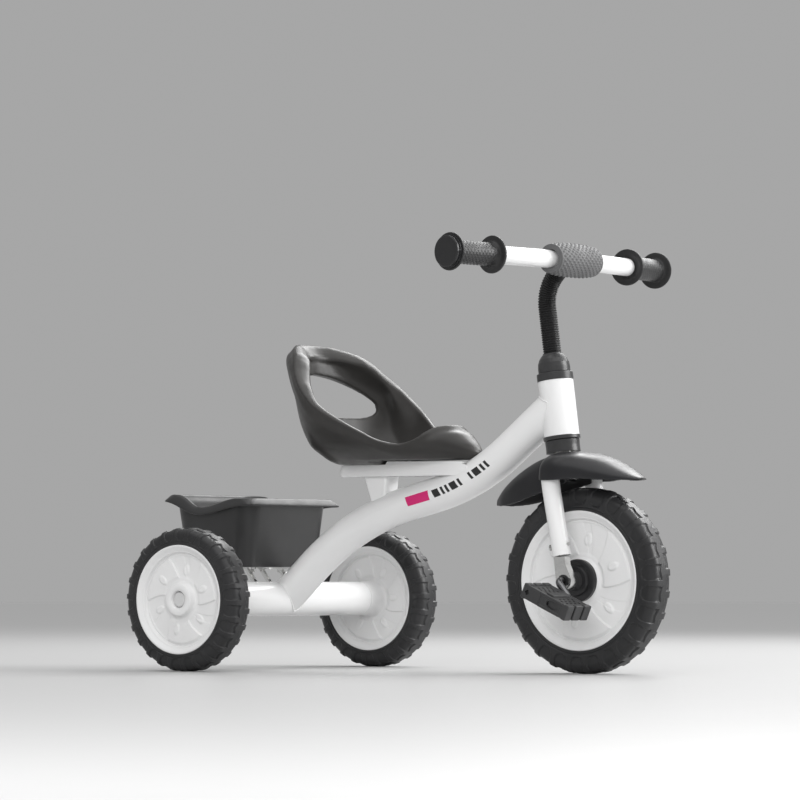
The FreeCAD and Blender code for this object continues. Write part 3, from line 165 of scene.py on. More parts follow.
M = {
    "white_paint": material("white_gloss_paint", (0.84, 0.84, 0.84), 0.30, coat=0.35, coat_rough=0.12, vary=0.006,
                            grain=900, bump=0.003, rough_vary=0.02),
    "wheel_plastic": material("white_moulded_plastic", (0.80, 0.80, 0.80), 0.42, vary=0.012, grain=900, bump=0.008,
                              rough_vary=0.04),
    "tyre_foam": material("black_tyre_foam", (0.020, 0.020, 0.021), 0.42, vary=0.18, grain=1500, bump=0.05, bump2=0.06,
                          grain2=160, rough_vary=0.10, wear=0.35, wear_colour=(0.06, 0.06, 0.06)),
    "seat_plastic": material("charcoal_blown_plastic", (0.033, 0.0315, 0.030), 0.37, vary=0.16, grain=1100, bump=0.03,
                             bump2=0.02, grain2=120, rough_vary=0.08, spec=0.4, wear=0.2, wear_colour=(0.08, 0.08, 0.078)),
    "basket_plastic": material("dark_basket_plastic", (0.028, 0.028, 0.0285), 0.36, vary=0.10, grain=900, bump=0.02,
                               bump2=0.01, grain2=90, rough_vary=0.06, wear=0.2, wear_colour=(0.08, 0.08, 0.08)),
    "fender_plastic": material("dark_fender_plastic", (0.009, 0.009, 0.0105), 0.36, vary=0.10, grain=800, bump=0.01,
                               rough_vary=0.06),
    "bright_plating": material("bright_plating", (0.82, 0.82, 0.81), 0.12, metal=1.0, vary=0.03, grain=300, bump=0.01,
                               bump2=0.02, grain2=60, rough_vary=0.05),
    "zinc_steel": material("zinc_plated_steel", (0.58, 0.58, 0.57), 0.30, metal=1.0, vary=0.08, grain=500, bump=0.02,
                           rough_vary=0.10, bump2=0.03),
    "cap_grey": material("grey_axle_cap", (0.62, 0.62, 0.62), 0.42, vary=0.03, grain=700, bump=0.006, rough_vary=0.04),
    "grip_rubber": material("black_grip_rubber", (0.016, 0.016, 0.0165), 0.44, vary=0.12, grain=1400, bump=0.03,
                            rough_vary=0.08, bump2=0.03, grain2=200),
    "pad_rubber": material("grey_bar_pad_rubber", (0.112, 0.112, 0.114), 0.55, vary=0.08, grain=1400, bump=0.03,
                           rough_vary=0.08, bump2=0.03, grain2=200),
    "black_steel": material("dark_plated_steel", (0.20, 0.20, 0.205), 0.22, metal=1.0, vary=0.10, grain=500, bump=0.015,
                            rough_vary=0.08, bump2=0.02),
    "black_plastic": material("black_moulded_plastic", (0.016, 0.016, 0.017), 0.36, vary=0.12, grain=900, bump=0.035,
                              rough_vary=0.08, bump2=0.04, grain2=110, wear=0.25, wear_colour=(0.05, 0.05, 0.05)),
    "fitting_plastic": material("dark_grey_fitting_plastic", (0.036, 0.036, 0.037), 0.34, vary=0.10, grain=900,
                                bump=0.03, rough_vary=0.07, bump2=0.04, grain2=110),
    "sleeve_black": material("black_sleeve_plastic", (0.007, 0.007, 0.0072), 0.40, vary=0.10, grain=900, bump=0.01,
                             rough_vary=0.06, spec=0.35),
    "pink": material("pink_label_film", (0.62, 0.018, 0.16), 0.34, vary=0.03, grain=500, bump=0.01, rough_vary=0.05),
    "ink": material("dark_printed_ink", (0.018, 0.018, 0.018), 0.42, vary=0.08, grain=900, bump=0.01, rough_vary=0.05),
}

for name, slot in {
    "main_tube": "white_paint", "rear_axle_tube": "white_paint", "head_tube": "white_paint",
    "seat_gusset": "white_paint", "seat_plate": "white_paint", "seat_riser": "white_paint",
    "axle_tube_plugs": "white_paint", "fork_crown": "white_paint", "fork_leg_left": "white_paint",
    "fork_leg_right": "white_paint", "handlebar_tube": "white_paint", "basket_bracket": "bright_plating",
    "rear_axle_rod": "zinc_steel", "rear_axle_washers": "zinc_steel", "fork_leg_bolts": "zinc_steel",
    "seat_bolts": "zinc_steel", "basket_bolts": "zinc_steel", "pedal_push_nuts": "zinc_steel",
    "stem_tube": "zinc_steel", "steerer_tube": "zinc_steel", "dropout_left": "bright_plating",
    "dropout_right": "bright_plating", "rear_axle_caps": "cap_grey", "crankshaft": "black_steel",
    "headset_bush_lower": "fitting_plastic", "headset_bush_upper": "fitting_plastic",
    "lower_headset_cup": "fitting_plastic", "headset_cap": "fitting_plastic", "front_hub_left": "black_plastic",
    "front_hub_right": "black_plastic", "front_axle_bushes": "black_plastic", "bar_end_cap_left": "black_plastic",
    "bar_end_cap_right": "black_plastic", "front_tyre": "tyre_foam", "rear_tyre_left": "tyre_foam",
    "rear_tyre_right": "tyre_foam",
}.items():
    o = NODES[name]
    for s in (o.material_slots or []):
        s.material = M[slot]
    if not o.material_slots:
        o.data.materials.append(M[slot])


# -------------------------------------------------------------------- meshes
def grid_faces(nu, nv, cu, cv, off=0):
    iu = np.arange(nu if cu else nu - 1)
    iv = np.arange(nv if cv else nv - 1)
    U, W = np.meshgrid(iu, iv, indexing="ij")
    a = U * nv + W
    b = ((U + 1) % nu) * nv + W
    c = ((U + 1) % nu) * nv + (W + 1) % nv
    d = U * nv + (W + 1) % nv
    return (np.stack([a, b, c, d], -1).reshape(-1, 4) + off).tolist()


def piece(name, verts, faces, mat, body, stands=(), sharp=None, metres=False):
    v = np.asarray(verts, float).reshape(-1, 3)
    v = v if metres else mm(v)
    me = bpy.data.meshes.new(name)
    me.from_pydata(v.tolist(), [], faces)
    bm = bmesh.new()
    bm.from_mesh(me)
    bmesh.ops.remove_doubles(bm, verts=bm.verts, dist=1e-6)
    bmesh.ops.recalc_face_normals(bm, faces=bm.faces)
    bm.to_mesh(me)
    bm.free()
    return finish_piece(name, me, mat, body, stands, sharp)


def finish_piece(name, me, mat, body, stands=(), sharp=None):
    me.polygons.foreach_set("use_smooth", np.ones(len(me.polygons), bool))
    if sharp:
        me.set_sharp_from_angle(angle=math.radians(sharp))
    me.materials.clear()
    me.materials.append(mat)
    me.update()
    o = bpy.data.objects.new(name, me)
    bpy.context.scene.collection.objects.link(o)
    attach(o, body)
    if stands:
        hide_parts(*stands)
    return o


def resample(pts, step):
    """Points along a polyline no further apart than step (one number or a function of the position)."""
    out = [np.array(pts[0], float)]
    for a, b in zip(pts[:-1], pts[1:]):
        a, b = np.array(a, float), np.array(b, float)
        L = np.linalg.norm(b - a)
        s = step(0.5 * (a + b)) if callable(step) else step
        n = max(1, int(math.ceil(L / s)))
        for k in range(1, n + 1):
            out.append(a + (b - a) * k / n)
    return np.array(out)


# --------------------------------------------------------------------- tyres
def tyre(name, R, q, cx, cy, body, node, start, phase):
    W, NREC = 22.5, 26
    half = [(W - 1.6, q), (W - 0.6, q + 0.3), (W - 0.1, q + 1.2), (W, q + 2.4), (W - 0.2, q + 3.4), (W - 0.9, q + 4.1),
            (W - 0.9, q + 4.8), (W - 0.1, q + 5.5), (W, R - 13.0)]
    for k in range(1, 17):
        t = math.pi / 2 * k / 16
        half.append((W - 12 + 12 * math.cos(t), R - 13 + 13 * math.sin(t)))
    half += [(6.0, R), (0.0, R)]
    h = resample(half, lambda p: 0.5 if 2.5 < abs(p[0]) < 9.5 and p[1] > R - 1 else 0.85)
    near = h                                     # +t side, bead to the middle
    far = h[::-1][1:] * [-1, 1]                  # on to the other bead
    prof = np.vstack([near, far])
    n = len(prof)
    plen = np.concatenate([[0], np.cumsum(np.linalg.norm(np.diff(h, axis=0), axis=1))])
    total = plen[-1]
    p_all = np.concatenate([plen, plen[::-1][1:]])
    tang = np.gradient(prof, axis=0)
    nrm = np.stack([tang[:, 1], -tang[:, 0]], 1)
    nrm /= np.linalg.norm(nrm, axis=1, keepdims=True)
    inward = nrm.copy()
    # point inwards, to the wheel's own core
    centre = np.array([0.0, q + 8])
    flip = np.sum((centre - prof) * inward, axis=1) < 0
    inward[flip] *= -1
    frac = []
    for e in (0.145, 0.355, 0.645, 0.855):
        frac += [e - 0.028, e - 0.009, e + 0.009, e + 0.028]
    frac = sorted(frac + [0.0, 0.07, 0.25, 0.43, 0.5, 0.57, 0.75, 0.93])
    per = len(frac)
    th = np.array([(k + f + phase) / NREC * TAU for k in range(NREC) for f in frac])
    pitch = TAU * R / NREC
    hw0 = 0.355 * pitch

    def recess(frac_off, side_mask):
        u = np.array([f for _ in range(NREC) for f in frac]) + frac_off
        u = u - np.round(u)                        # -0.5..0.5
        r = prof[:, 1]
        x = u[:, None] * (TAU * r[None, :] / NREC)  # mm along the ring
        p = p_all[None, :]
        grow = 0.80 + 0.20 * smooth(start, start + 14, p)
        endr = np.sqrt(np.clip(1 - (np.clip(start + 6.5 - p, 0, 6.5) / 6.5) ** 2, 0, 1))
        hw = hw0 * grow * endr * np.where(p > start, 1, 0)
        xn = np.clip(x / hw0, -1, 1)
        end = (total - 6.0) + np.where(xn < 0, -1.8 + 3.6 * -xn, -1.8 + 4.2 * xn)
        sd = np.minimum(np.minimum(hw - np.abs(x), end - p), p - start)
        d = smooth(0.0, 0.75, sd)
        return d * side_mask[None, :]

    side_a = (np.arange(n) < len(h)).astype(float)
    # the first row may run a little past the middle, so let it
    d = 1.75 * np.maximum(recess(0.0, side_a), recess(0.5, 1 - side_a + (np.arange(n) == len(h) - 1)))
    pr = prof[None, :, :] + inward[None, :, :] * d[:, :, None]
    back = np.array([(-W + 2.4, q), (-8, q), (8, q), (W - 2.4, q)])
    pr = np.concatenate([pr, np.broadcast_to(back[None], (len(th), 4, 2))], axis=1)
    t, r = pr[..., 0], pr[..., 1]
    c, s = np.cos(th)[:, None], np.sin(th)[:, None]
    P = np.stack([cx + r * c, cy - t, R + r * s], -1)
    return piece(name, P, grid_faces(len(th), pr.shape[1], True, True), M["tyre_foam"], body, [node])


FXC, FZC = 520.3, 124.4
tyre("front_tyre_treaded", 124.4, 93.9, FXC, 0.0, "front_wheel", "front_tyre", 9.4, 0.38)
tyre("rear_tyre_right_treaded", 98.3, 75.0, 0.0, -211.7, "rear_wheel_right", "rear_tyre_right", 6.4, 0.32)
tyre("rear_tyre_left_treaded", 98.3, 75.0, 0.0, 211.7, "rear_wheel_left", "rear_tyre_left", 6.4, 0.65)


# --------------------------------------------------------------- wheel discs
def disc(name, q, cx, cy, cz, side, rad, back, hub, body, node, turn=0.0):
    """Moulded disc: lip, sloping ring, web with three raised swirl blades and six oval bosses, hub.
    side is -1 for a face that looks to -Y; rad is not used; hub lists (r, outward height) fixed points of the hub,
    back lists the closing points behind the face."""
    k = q / 75.0
    r_step = q - 10.5 * (1 + 0.25 * (k - 1))
    web = 13.0
    r_in = hub[-1][0]
    face = list(hub)
    for r in np.linspace(r_in + 1.0, r_step - 2.6, int((r_step - r_in) / 0.95)):
        face.append((r, web))
    face += [(r_step - 2.0, web - 0.5), (r_step - 1.5, web - 0.5), (r_step - 1.0, web + 0.1), (r_step - 0.4, web + 1.2),
             (r_step, web + 3.0), (r_step + 0.5, web + 4.0), (r_step + 1.3, web + 4.6)]
    for r in np.linspace(r_step + 2.0, q - 2.4, 7):
        face.append((r, web + 4.6 + (22.0 - web - 4.6) * (r - r_step - 2.0) / (q - 4.4 - r_step)))
    face += [(q - 1.7, 22.1), (q - 0.8, 22.1), (q - 0.25, 21.8), (q - 0.1, 21.0)]
    face = np.array(face)
    nf = len(face)
    na = 504
    al = np.arange(na) / na * TAU
    r = face[:, 0][None, :]
    hgt = np.repeat(face[:, 1][None, :], na, 0)
    A = al[:, None]
    # swirl: the blades' edges sweep back as they go out
    psi = np.degrees(A) + turn - 0.45 * (r / k - 60.0)
    psi = np.mod(psi, 360.0)
    mm_deg = r * math.pi / 180.0
    raised = np.zeros_like(hgt)
    slope = np.zeros_like(hgt)
    for a0, a1 in ((0.0, 56.0), (112.0, 182.0), (246.0, 306.0)):
        mid, halfw = 0.5 * (a0 + a1), 0.5 * (a1 - a0)
        dlt = np.abs(np.mod(psi - mid + 180.0, 360.0) - 180.0)
        sd = (halfw - dlt) * mm_deg
        raised = np.maximum(raised, smooth(-0.7, 0.9, sd))
        sgn = np.mod(psi - mid + 180.0, 360.0) - 180.0
        slope += np.where(np.abs(sgn) < halfw + 33, -0.9 * np.cos(np.clip(sgn / (halfw + 33), -1, 1) * math.pi), 0)
    inner, outer = r_in + 2.0, r_step - 3.0
    window = smooth(inner, inner + 5.0, r) * (1 - smooth(outer - 2.5, outer, r))
    hgt = hgt + window * (2.5 * raised - 0.6 * slope - 0.4)
    rb = 41.0 * (1 + (k - 1) * 1.45)
    for j in range(6):
        a = math.radians(20 + 60 * j + 0.45 * (rb / k - 60) * 0 - turn)
        x, y = r * np.cos(A), r * np.sin(A)
        lx = x * math.cos(a) + y * math.sin(a) - rb
        ly = -x * math.sin(a) + y * math.cos(a)
        e = np.sqrt((lx / (8.6 * k ** 0.5)) ** 2 + (ly / (5.2 * k ** 0.5)) ** 2)
        hgt = hgt + 1.9 * (1 - smooth(0.62, 1.08, e))
    front = np.stack([np.broadcast_to(face[:, 0][None], (na, nf)), hgt], -1)
    bk = np.array(back, float)
    pr = np.concatenate([front, np.broadcast_to(bk[None], (na, len(bk), 2))], axis=1)
    rr, hh = pr[..., 0], pr[..., 1]
    right = 1.0 if side < 0 else -1.0
    P = np.stack([cx + right * rr * np.cos(A), cy + side * hh, cz + rr * np.sin(A)], -1)
    return piece(name, P, grid_faces(na, pr.shape[1], True, True), M["wheel_plastic"], body, [node])


def rear_hub():
    return [(5.15, 14.3), (11.5, 14.3), (11.9, 15.0), (12.1, 21.4), (12.9, 22.2), (21.0, 22.2), (21.8, 21.8), (22.3, 20.8),
            (22.8, 16.2), (23.4, 14.4), (24.6, 13.3), (26.0, 13.0)]


def boss_hub():
    return [(5.15, 43.2), (22.8, 43.2), (23.7, 42.7), (24.0, 41.8), (24.3, 30.0), (24.6, 20.0), (25.0, 15.6), (26.0, 13.7),
            (27.4, 13.0)]


def back_of(q, bore):
    return [(q - 0.1, 2.1), (q - 4.5, 2.1), (q - 5.0, 7.6), (14.0, 7.6), (14.0, 0.25), (bore, 0.25)]


for side, tag in ((-1, "right"), (1, "left")):
    body = "rear_wheel_" + tag
    y = side * 211.7
    disc("rear_disc_outer_%s_moulded" % tag, 75.0, 0.0, y, 98.3, side, None, back_of(75.0, 5.15), rear_hub(), body,
         "rear_disc_outer_" + tag, turn=0.0)
    disc("rear_disc_inner_%s_moulded" % tag, 75.0, 0.0, y, 98.3, -side, None, back_of(75.0, 5.15), boss_hub(), body,
         "rear_disc_inner_" + tag, turn=18.0)
    disc("front_disc_%s_moulded" % tag, 93.9, FXC, 0.0, FZC, side, None, back_of(93.9, 9.0),
         [(9.0, 18.9), (26.0, 18.9), (27.4, 18.6), (28.4, 17.6), (29.0, 15.6), (30.0, 13.8), (31.6, 13.0)], "front_wheel",
         "front_disc_" + tag, turn=0.0)

# ---------------------------------------------------------------------- seat
MAIN = [(0.0, 98.3), (125.7, 208.1), (337.2, 258.7), (472.2, 363.2)]


def main_path(step=1.0):
    """The main tube's centre line in x and z: straight runs and their arcs."""
    pts = [np.array(p, float) for p in MAIN]
    out = [pts[0]]
    for i, rad in ((1, 406.0), (2, 330.0)):
        a, b, c = pts[i - 1], pts[i], pts[i + 1]
        u = (b - a) / np.linalg.norm(b - a)
        w = (c - b) / np.linalg.norm(c - b)
        turn = math.acos(np.clip(np.dot(u, w), -1, 1))
        t = rad * math.tan(turn / 2)
        p = b - u * t
        bis = (w - u) / np.linalg.norm(w - u)
        cen = b + bis * rad / math.cos(turn / 2)
        a0 = p - cen
        sgn = np.sign(u[0] * w[1] - u[1] * w[0])
        out.append(p)
        m = 24
        for k in range(1, m + 1):
            th = sgn * turn * k / m
            out.append(cen + np.array([a0[0] * math.cos(th) - a0[1] * math.sin(th), a0[0] * math.sin(th) + a0[1] * math.cos(th)]))
    out.append(pts[-1])
    return resample(out, step)


PATH = main_path(1.5)
PATH_S = np.concatenate([[0], np.cumsum(np.linalg.norm(np.diff(PATH, axis=0), axis=1))])


def off_tube(v, R):
    """Moves points that are inside the main tube out to its surface (v in mm, rear-axle coordinates)."""
    v = v.copy()
    sel = np.where((np.abs(v[:, 1]) < R) & (v[:, 0] > 240))[0]
    if len(sel) == 0:
        return v
    q = v[sel]
    d2 = (q[:, None, 0] - PATH[None, :, 0]) ** 2 + (q[:, None, 2] - PATH[None, :, 1]) ** 2
    j = d2.argmin(1)
    cx, cz = PATH[j, 0], PATH[j, 1]
    dv = np.stack([q[:, 0] - cx, q[:, 1], q[:, 2] - cz], 1)
    L = np.linalg.norm(dv, axis=1)
    bad = L < R
    dv[bad] *= (R / np.maximum(L[bad], 1e-6))[:, None]
    v[sel, 0], v[sel, 1], v[sel, 2] = cx + dv[:, 0], dv[:, 1], cz + dv[:, 2]
    return v


SEAT = [
    (284.3, 115.0, 322.0, 50.0), (289.0, 104.0, 334.0, 64.0), (296.0, 96.0, 341.0, 78.0),
    (308.0, 84.0, 336.0, 97.0), (322.0, 79.0, 321.0, 109.0), (336.0, 75.0, 303.0, 117.0),
    (356.0, 71.0, 298.0, 124.0), (376.0, 66.0, 298.0, 127.0), (392.0, 56.0, 298.0, 127.0),
    (412.0, 41.0, 298.0, 119.0), (428.0, 29.0, 298.0, 106.0), (442.0, 27.0, 298.0, 92.0),
    (454.0, 35.0, 298.0, 72.0), (462.0, 45.0, 298.0, 52.0)]
RIM = [(-40, 470), (20, 462), (50, 457), (79, 439), (98, 417), (121, 393), (148, 367), (173, 348), (202, 331),
       (232, 314), (256, 310), (276, 318), (290, 329), (303, 335), (318, 329), (332, 316), (350, 300), (400, 290)]


def seat_point(phi, z):
    xr, xf, hw = spline_table(SEAT, z)
    c, s = math.cos(phi), math.sin(phi)
    xm = 150.0
    if c >= 0:
        g = 1.15 * c * c / (c + 0.15)
        return np.stack([xm + (xf - xm) * c, hw * s * (1 - 0.3 * g), np.atleast_1d(z)], -1)
    return np.stack([xm + (xm - xr) * c, hw * s, np.atleast_1d(z)], -1)


def build_seat():
    nphi, nz = 220, 60
    zz = np.linspace(284.3, 461.5, 500)
    outer_all, inner_all = [], []
    for i in range(nphi):
        phi = TAU * i / nphi
        P = seat_point(phi, zz)
        turn = abs((phi + math.pi) % TAU - math.pi)
        front = 1.0 - float(smooth(math.radians(24), math.radians(62), turn))
        wide = 11.0 + 19.0 * float(smooth(math.radians(70), math.radians(140), turn))   # wall thickness at the rim
        rz = spline_table(RIM, P[:, 0])[0] - 0.25 * wide * (1 - front)
        over = np.where(zz >= rz)[0]
        kend = max(4, over[0] if len(over) else len(zz) - 1)
        P = P[:kend + 1]
        L = np.concatenate([[0], np.cumsum(np.linalg.norm(np.diff(P, axis=0), axis=1))])
        s = np.linspace(0, L[-1], nz)
        O = np.stack([np.interp(s, L, P[:, k]) for k in range(3)], 1)
        down = L[-1] - s                             # distance below the rim
        T = np.gradient(O, axis=0)
        T /= np.linalg.norm(T, axis=1, keepdims=True)
        horiz = np.array([math.cos(phi), math.sin(phi), 0.0])
        N = horiz[None, :] - T * (T @ horiz)[:, None]
        N /= np.linalg.norm(N, axis=1, keepdims=True)
        fade = smooth(20, 42, L[-1]) if L[-1] < 60 else 1.0
        # swollen crest, channel, rounded bead at the rim
        disp = fade * (0.7 * np.exp(-((down - 18) / 8.0) ** 2) - 1.3 * np.exp(-((down - 6.0) / 5.0) ** 2))
        th = wide - (wide - 6.0) * smooth(16, 90, down)
        I = O - N * th[:, None]
        O2 = O + N * disp[:, None]
        # the nose: the pan rises to it in one slope
        rim_in = O[-1] - horiz * 7.0
        c0 = np.array([172.0, 0.0, 292.5])
        v = np.linspace(0, 1, nz)
        S = c0[None] * (1 - v[:, None]) + rim_in[None] * v[:, None]
        S[:, 2] = 292.5 + (rim_in[2] - 292.5) * (0.25 * v ** 2 + 0.75 * v ** 3.2) + 1.5
        I = I * (1 - front) + S * front
        # floor
        I[:, 2] = np.maximum(I[:, 2], 291.5)
        outer_all.append(O2)
        inner_all.append(I)
    outer, inner = np.array(outer_all), np.array(inner_all)
    # the underside steps up over the front half, clear of the plate's riser
    step = smooth(190.5, 194.0, outer[..., 0]) * 5.1
    outer[..., 2] = np.maximum(outer[..., 2], 284.4 + step)
    rings = []
    for f in (0.0, 0.33, 0.66):                     # underside
        c = np.array([200.0, 0.0, 284.4])
        ring = c[None] * (1 - f) + outer[:, 0, :] * f
        st = smooth(190.5, 194.0, ring[:, 0]) * 5.1
        ring[:, 2] = 284.4 + st
        rings.append(ring)
    under = np.stack(rings, 1)
    # rounded bead between the outer and inner rim
    o, i_ = outer[:, -1, :], inner[:, -1, :]
    mid = 0.5 * (o + i_)
    w = np.linalg.norm(o - i_, axis=1, keepdims=True)
    up = np.array([0, 0, 1.0])
    beads = []
    for a in (25, 55, 90, 125, 155):
        ca, sa = math.cos(math.radians(a)), math.sin(math.radians(a))
        beads.append(mid + (o - i_) * 0.5 * ca + up[None] * w * 0.25 * sa)
    bead = np.stack(beads, 1)
    inn = inner[:, ::-1, :]
    fl = []
    for f in (0.66, 0.33, 0.0):
        c = np.array([172.0, 0.0, 292.6])
        ring = c[None] * (1 - f) + inn[:, -1, :] * f
        fl.append(ring)
    floor = np.stack(fl, 1)
    P = np.concatenate([under, outer, bead, inn, floor], 1)
    P[..., 2] -= 0.0
    me = bpy.data.meshes.new("seat_base")
    me.from_pydata(mm(P).reshape(-1, 3).tolist(), [], grid_faces(nphi, P.shape[1], True, False))
    bm = bmesh.new()
    bm.from_mesh(me)
    bmesh.ops.remove_doubles(bm, verts=bm.verts, dist=2e-5)
    bmesh.ops.recalc_face_normals(bm, faces=bm.faces)
    bm.to_mesh(me)
    bm.free()
    ob = bpy.data.objects.new("seat_base", me)
    bpy.context.scene.collection.objects.link(ob)
    # the handle opening through the back
    loop = [(0, 354), (38, 353), (70, 354), (88, 362), (87, 377), (68, 394), (36, 409), (0, 414), (-36, 409), (-68, 394),
            (-87, 377), (-88, 362), (-70, 354), (-38, 353)]
    m = len(loop) * 6
    tt = np.linspace(0, len(loop), m, endpoint=False)
    L = np.array(loop, float)
    sm = []
    for t in tt:
        i0 = int(t)
        u = t - i0
        p0, p1, p2, p3 = L[(i0 - 1) % 14], L[i0 % 14], L[(i0 + 1) % 14], L[(i0 + 2) % 14]
        sm.append(0.5 * ((2 * p1) + (-p0 + p2) * u + (2 * p0 - 5 * p1 + 4 * p2 - p3) * u**2 + (-p0 + 3 * p1 - 3 * p2 + p3) * u**3))
    sm = np.array(sm)
    V = [(-60.0, y, z) for y, z in sm] + [(132.0, y * 0.97, z - 0.06 * (z - 353)) for y, z in sm]
    F = [list(range(m)), list(range(m, 2 * m))[::-1]] + [[i, i + m, (i + 1) % m + m, (i + 1) % m] for i in range(m)]
    mc = bpy.data.meshes.new("seat_cutter")
    mc.from_pydata(mm(V).tolist(), [], F)
    bm = bmesh.new()
    bm.from_mesh(mc)
    bmesh.ops.recalc_face_normals(bm, faces=bm.faces)
    bm.to_mesh(mc)
    bm.free()
    cutter = bpy.data.objects.new("seat_cutter", mc)
    bpy.context.scene.collection.objects.link(cutter)
    md = ob.modifiers.new("hole", "BOOLEAN")
    md.operation, md.object, md.solver = "DIFFERENCE", cutter, "EXACT"
    md2 = ob.modifiers.new("vox", "REMESH")
    md2.mode, md2.voxel_size, md2.adaptivity = "VOXEL", 0.0016, 0.0
    md3 = ob.modifiers.new("soft", "SMOOTH")
    md3.factor, md3.iterations = 0.5, 14
    dg = bpy.context.evaluated_depsgraph_get()
    out = bpy.data.meshes.new_from_object(ob.evaluated_get(dg))
    bpy.data.objects.remove(ob)
    bpy.data.objects.remove(cutter)
    co = np.zeros(len(out.vertices) * 3)
    out.vertices.foreach_get("co", co)
    co = co.reshape(-1, 3) * 1000
    co[:, 0] += XS
    co = off_tube(co, 24.5)
    # flat foot on the plate and riser
    foot = np.where(co[:, 0] > 192.5, 289.0, 284.35)
    inplate = np.abs(co[:, 1]) < 23.5
    co[:, 2] = np.where(inplate & (co[:, 0] < 335), np.maximum(co[:, 2], foot), co[:, 2])
    out.vertices.foreach_set("co", mm(co).ravel())
    return finish_piece("seat_shell_moulded", out, M["seat_plastic"], "frame", ["seat"])


build_seat()


# -------------------------------------------------------------------- basket
def round_rect(x0, x1, hw, r, r_rear=None, nside=26, ncorner=14):
    """Closed outline, counter-clockwise from the rear right corner, as (x, y, outward nx, ny)."""
    q = r if r_rear is None else r_rear
    out = []
    corners = [(x1 - r, -hw + r, -90, r), (x1 - r, hw - r, 0, r), (x0 + q, hw - q, 90, q), (x0 + q, -hw + q, 180, q)]
    starts = [(x0 + q, -hw), (x1, -hw + r), (x1 - r, hw), (x0, hw - q)]
    ends = [(x1 - r, -hw), (x1, hw - r), (x0 + q, hw), (x0, -hw + q)]
    nrm = [(0, -1), (1, 0), (0, 1), (-1, 0)]
    for k in range(4):
        a, b = np.array(starts[k]), np.array(ends[k])
        for j in range(nside):
            p = a + (b - a) * j / nside
            out.append((p[0], p[1], nrm[k][0], nrm[k][1]))
        cx, cy, a0, rr = corners[k]
        for j in range(ncorner):
            t = math.radians(a0 + 90.0 * j / ncorner)
            out.append((cx + rr * math.cos(t), cy + rr * math.sin(t), math.cos(t), math.sin(t)))
    return np.array(out)


def build_basket():
    X0, X1, HW = -143.9, 20.0, 102.0
    n = 4 * 40

    def level(f, grow=0.0):
        """Wall outline between floor (0) and rim (1)."""
        x0 = X0 + 26 + (9 - 26) * f
        x1 = X1 - 22 + (22 - 9) * f
        hw = HW - 18 + (18 - 9) * f
        return round_rect(x0 - grow, x1 + grow, hw + grow, 20 + 8 * f + grow)

    def rim_z(x, y):
        side = np.where(x < -76, 227.0 + 18.5 * 0.5 * (1 - np.cos(math.pi * np.clip((-76 - x) / 64, 0, 1))),
                        227.0 + 11.8 * 0.5 * (1 - np.cos(math.pi * np.clip((x + 76) / 88, 0, 1))))
        return side

    edge = round_rect(X0, X1, HW, 7, 15)
    inner = level(1.0, -0.6)
    zr = rim_z(edge[:, 0], edge[:, 1])
    rows = []

    def put(xy, z):
        rows.append(np.stack([xy[:, 0], xy[:, 1], np.broadcast_to(z, (n,)).astype(float)], 1))

    zb, w = 143.0, 2.6
    drop = 4.0
    # inside, from the floor's middle outwards and up
    low_in = level(0.0, -w)
    cx, cy = (X0 + X1) / 2 - 0, 0.0
    for f in (0.0, 0.45, 0.86):
        xy = low_in.copy()
        xy[:, 0] = cx + (xy[:, 0] - cx) * f
        xy[:, 1] *= f
        put(xy, zb + w)
    xy = low_in.copy()
    xy[:, :2] -= xy[:, 2:] * 1.6
    put(xy, zb + w + 0.3)
    put(low_in, zb + w + 2.0)
    for f in np.linspace(0.06, 0.93, 18):
        put(level(f, -w), zb + 4 + (zr - 7 - zb - 4) * (f - 0.06) / 0.87 + 0.0)
    # rolled rim: inner edge, crest, sloping flange, lip, underside
    prof = [(-9.6, -4.2), (-9.3, -2.2), (-8.4, -0.7), (-7.0, 0.0), (-5.6, -0.35), (-4.4, -1.4), (-1.4, -6.4), (-0.35, -8.2),
            (0.0, -9.3), (-0.3, -10.4), (-1.2, -10.9), (-2.1, -10.4), (-2.6, -9.4), (-5.4, -5.4), (-6.6, -4.9), (-7.3, -6.0)]
    for o_, dz in prof:
        t = -o_ / 9.6
        put(edge * (1 - t) + inner * t, zr + dz)
    for f in np.linspace(0.93, 0.04, 18):
        put(level(f, 0.0), zb + 3 + (zr - 8 - zb - 3) * (f - 0.04) / 0.89)
    xy = level(0.0)
    put(xy, zb + 1.6)
    x2 = xy.copy()
    x2[:, :2] -= x2[:, 2:] * 0.8
    put(x2, zb + 0.35)
    x3 = xy.copy()
    x3[:, :2] -= x3[:, 2:] * 2.4
    put(x3, zb)
    for f in (0.86, 0.45, 0.0):
        xy2 = xy.copy()
        xy2[:, 0] = cx + (xy2[:, 0] - cx) * f
        xy2[:, 1] *= f
        put(xy2, zb)
    P = np.stack(rows, 1)
    return piece("basket_shell_moulded", P, grid_faces(n, P.shape[1], True, False), M["basket_plastic"], "frame",
                 ["basket"])


build_basket()


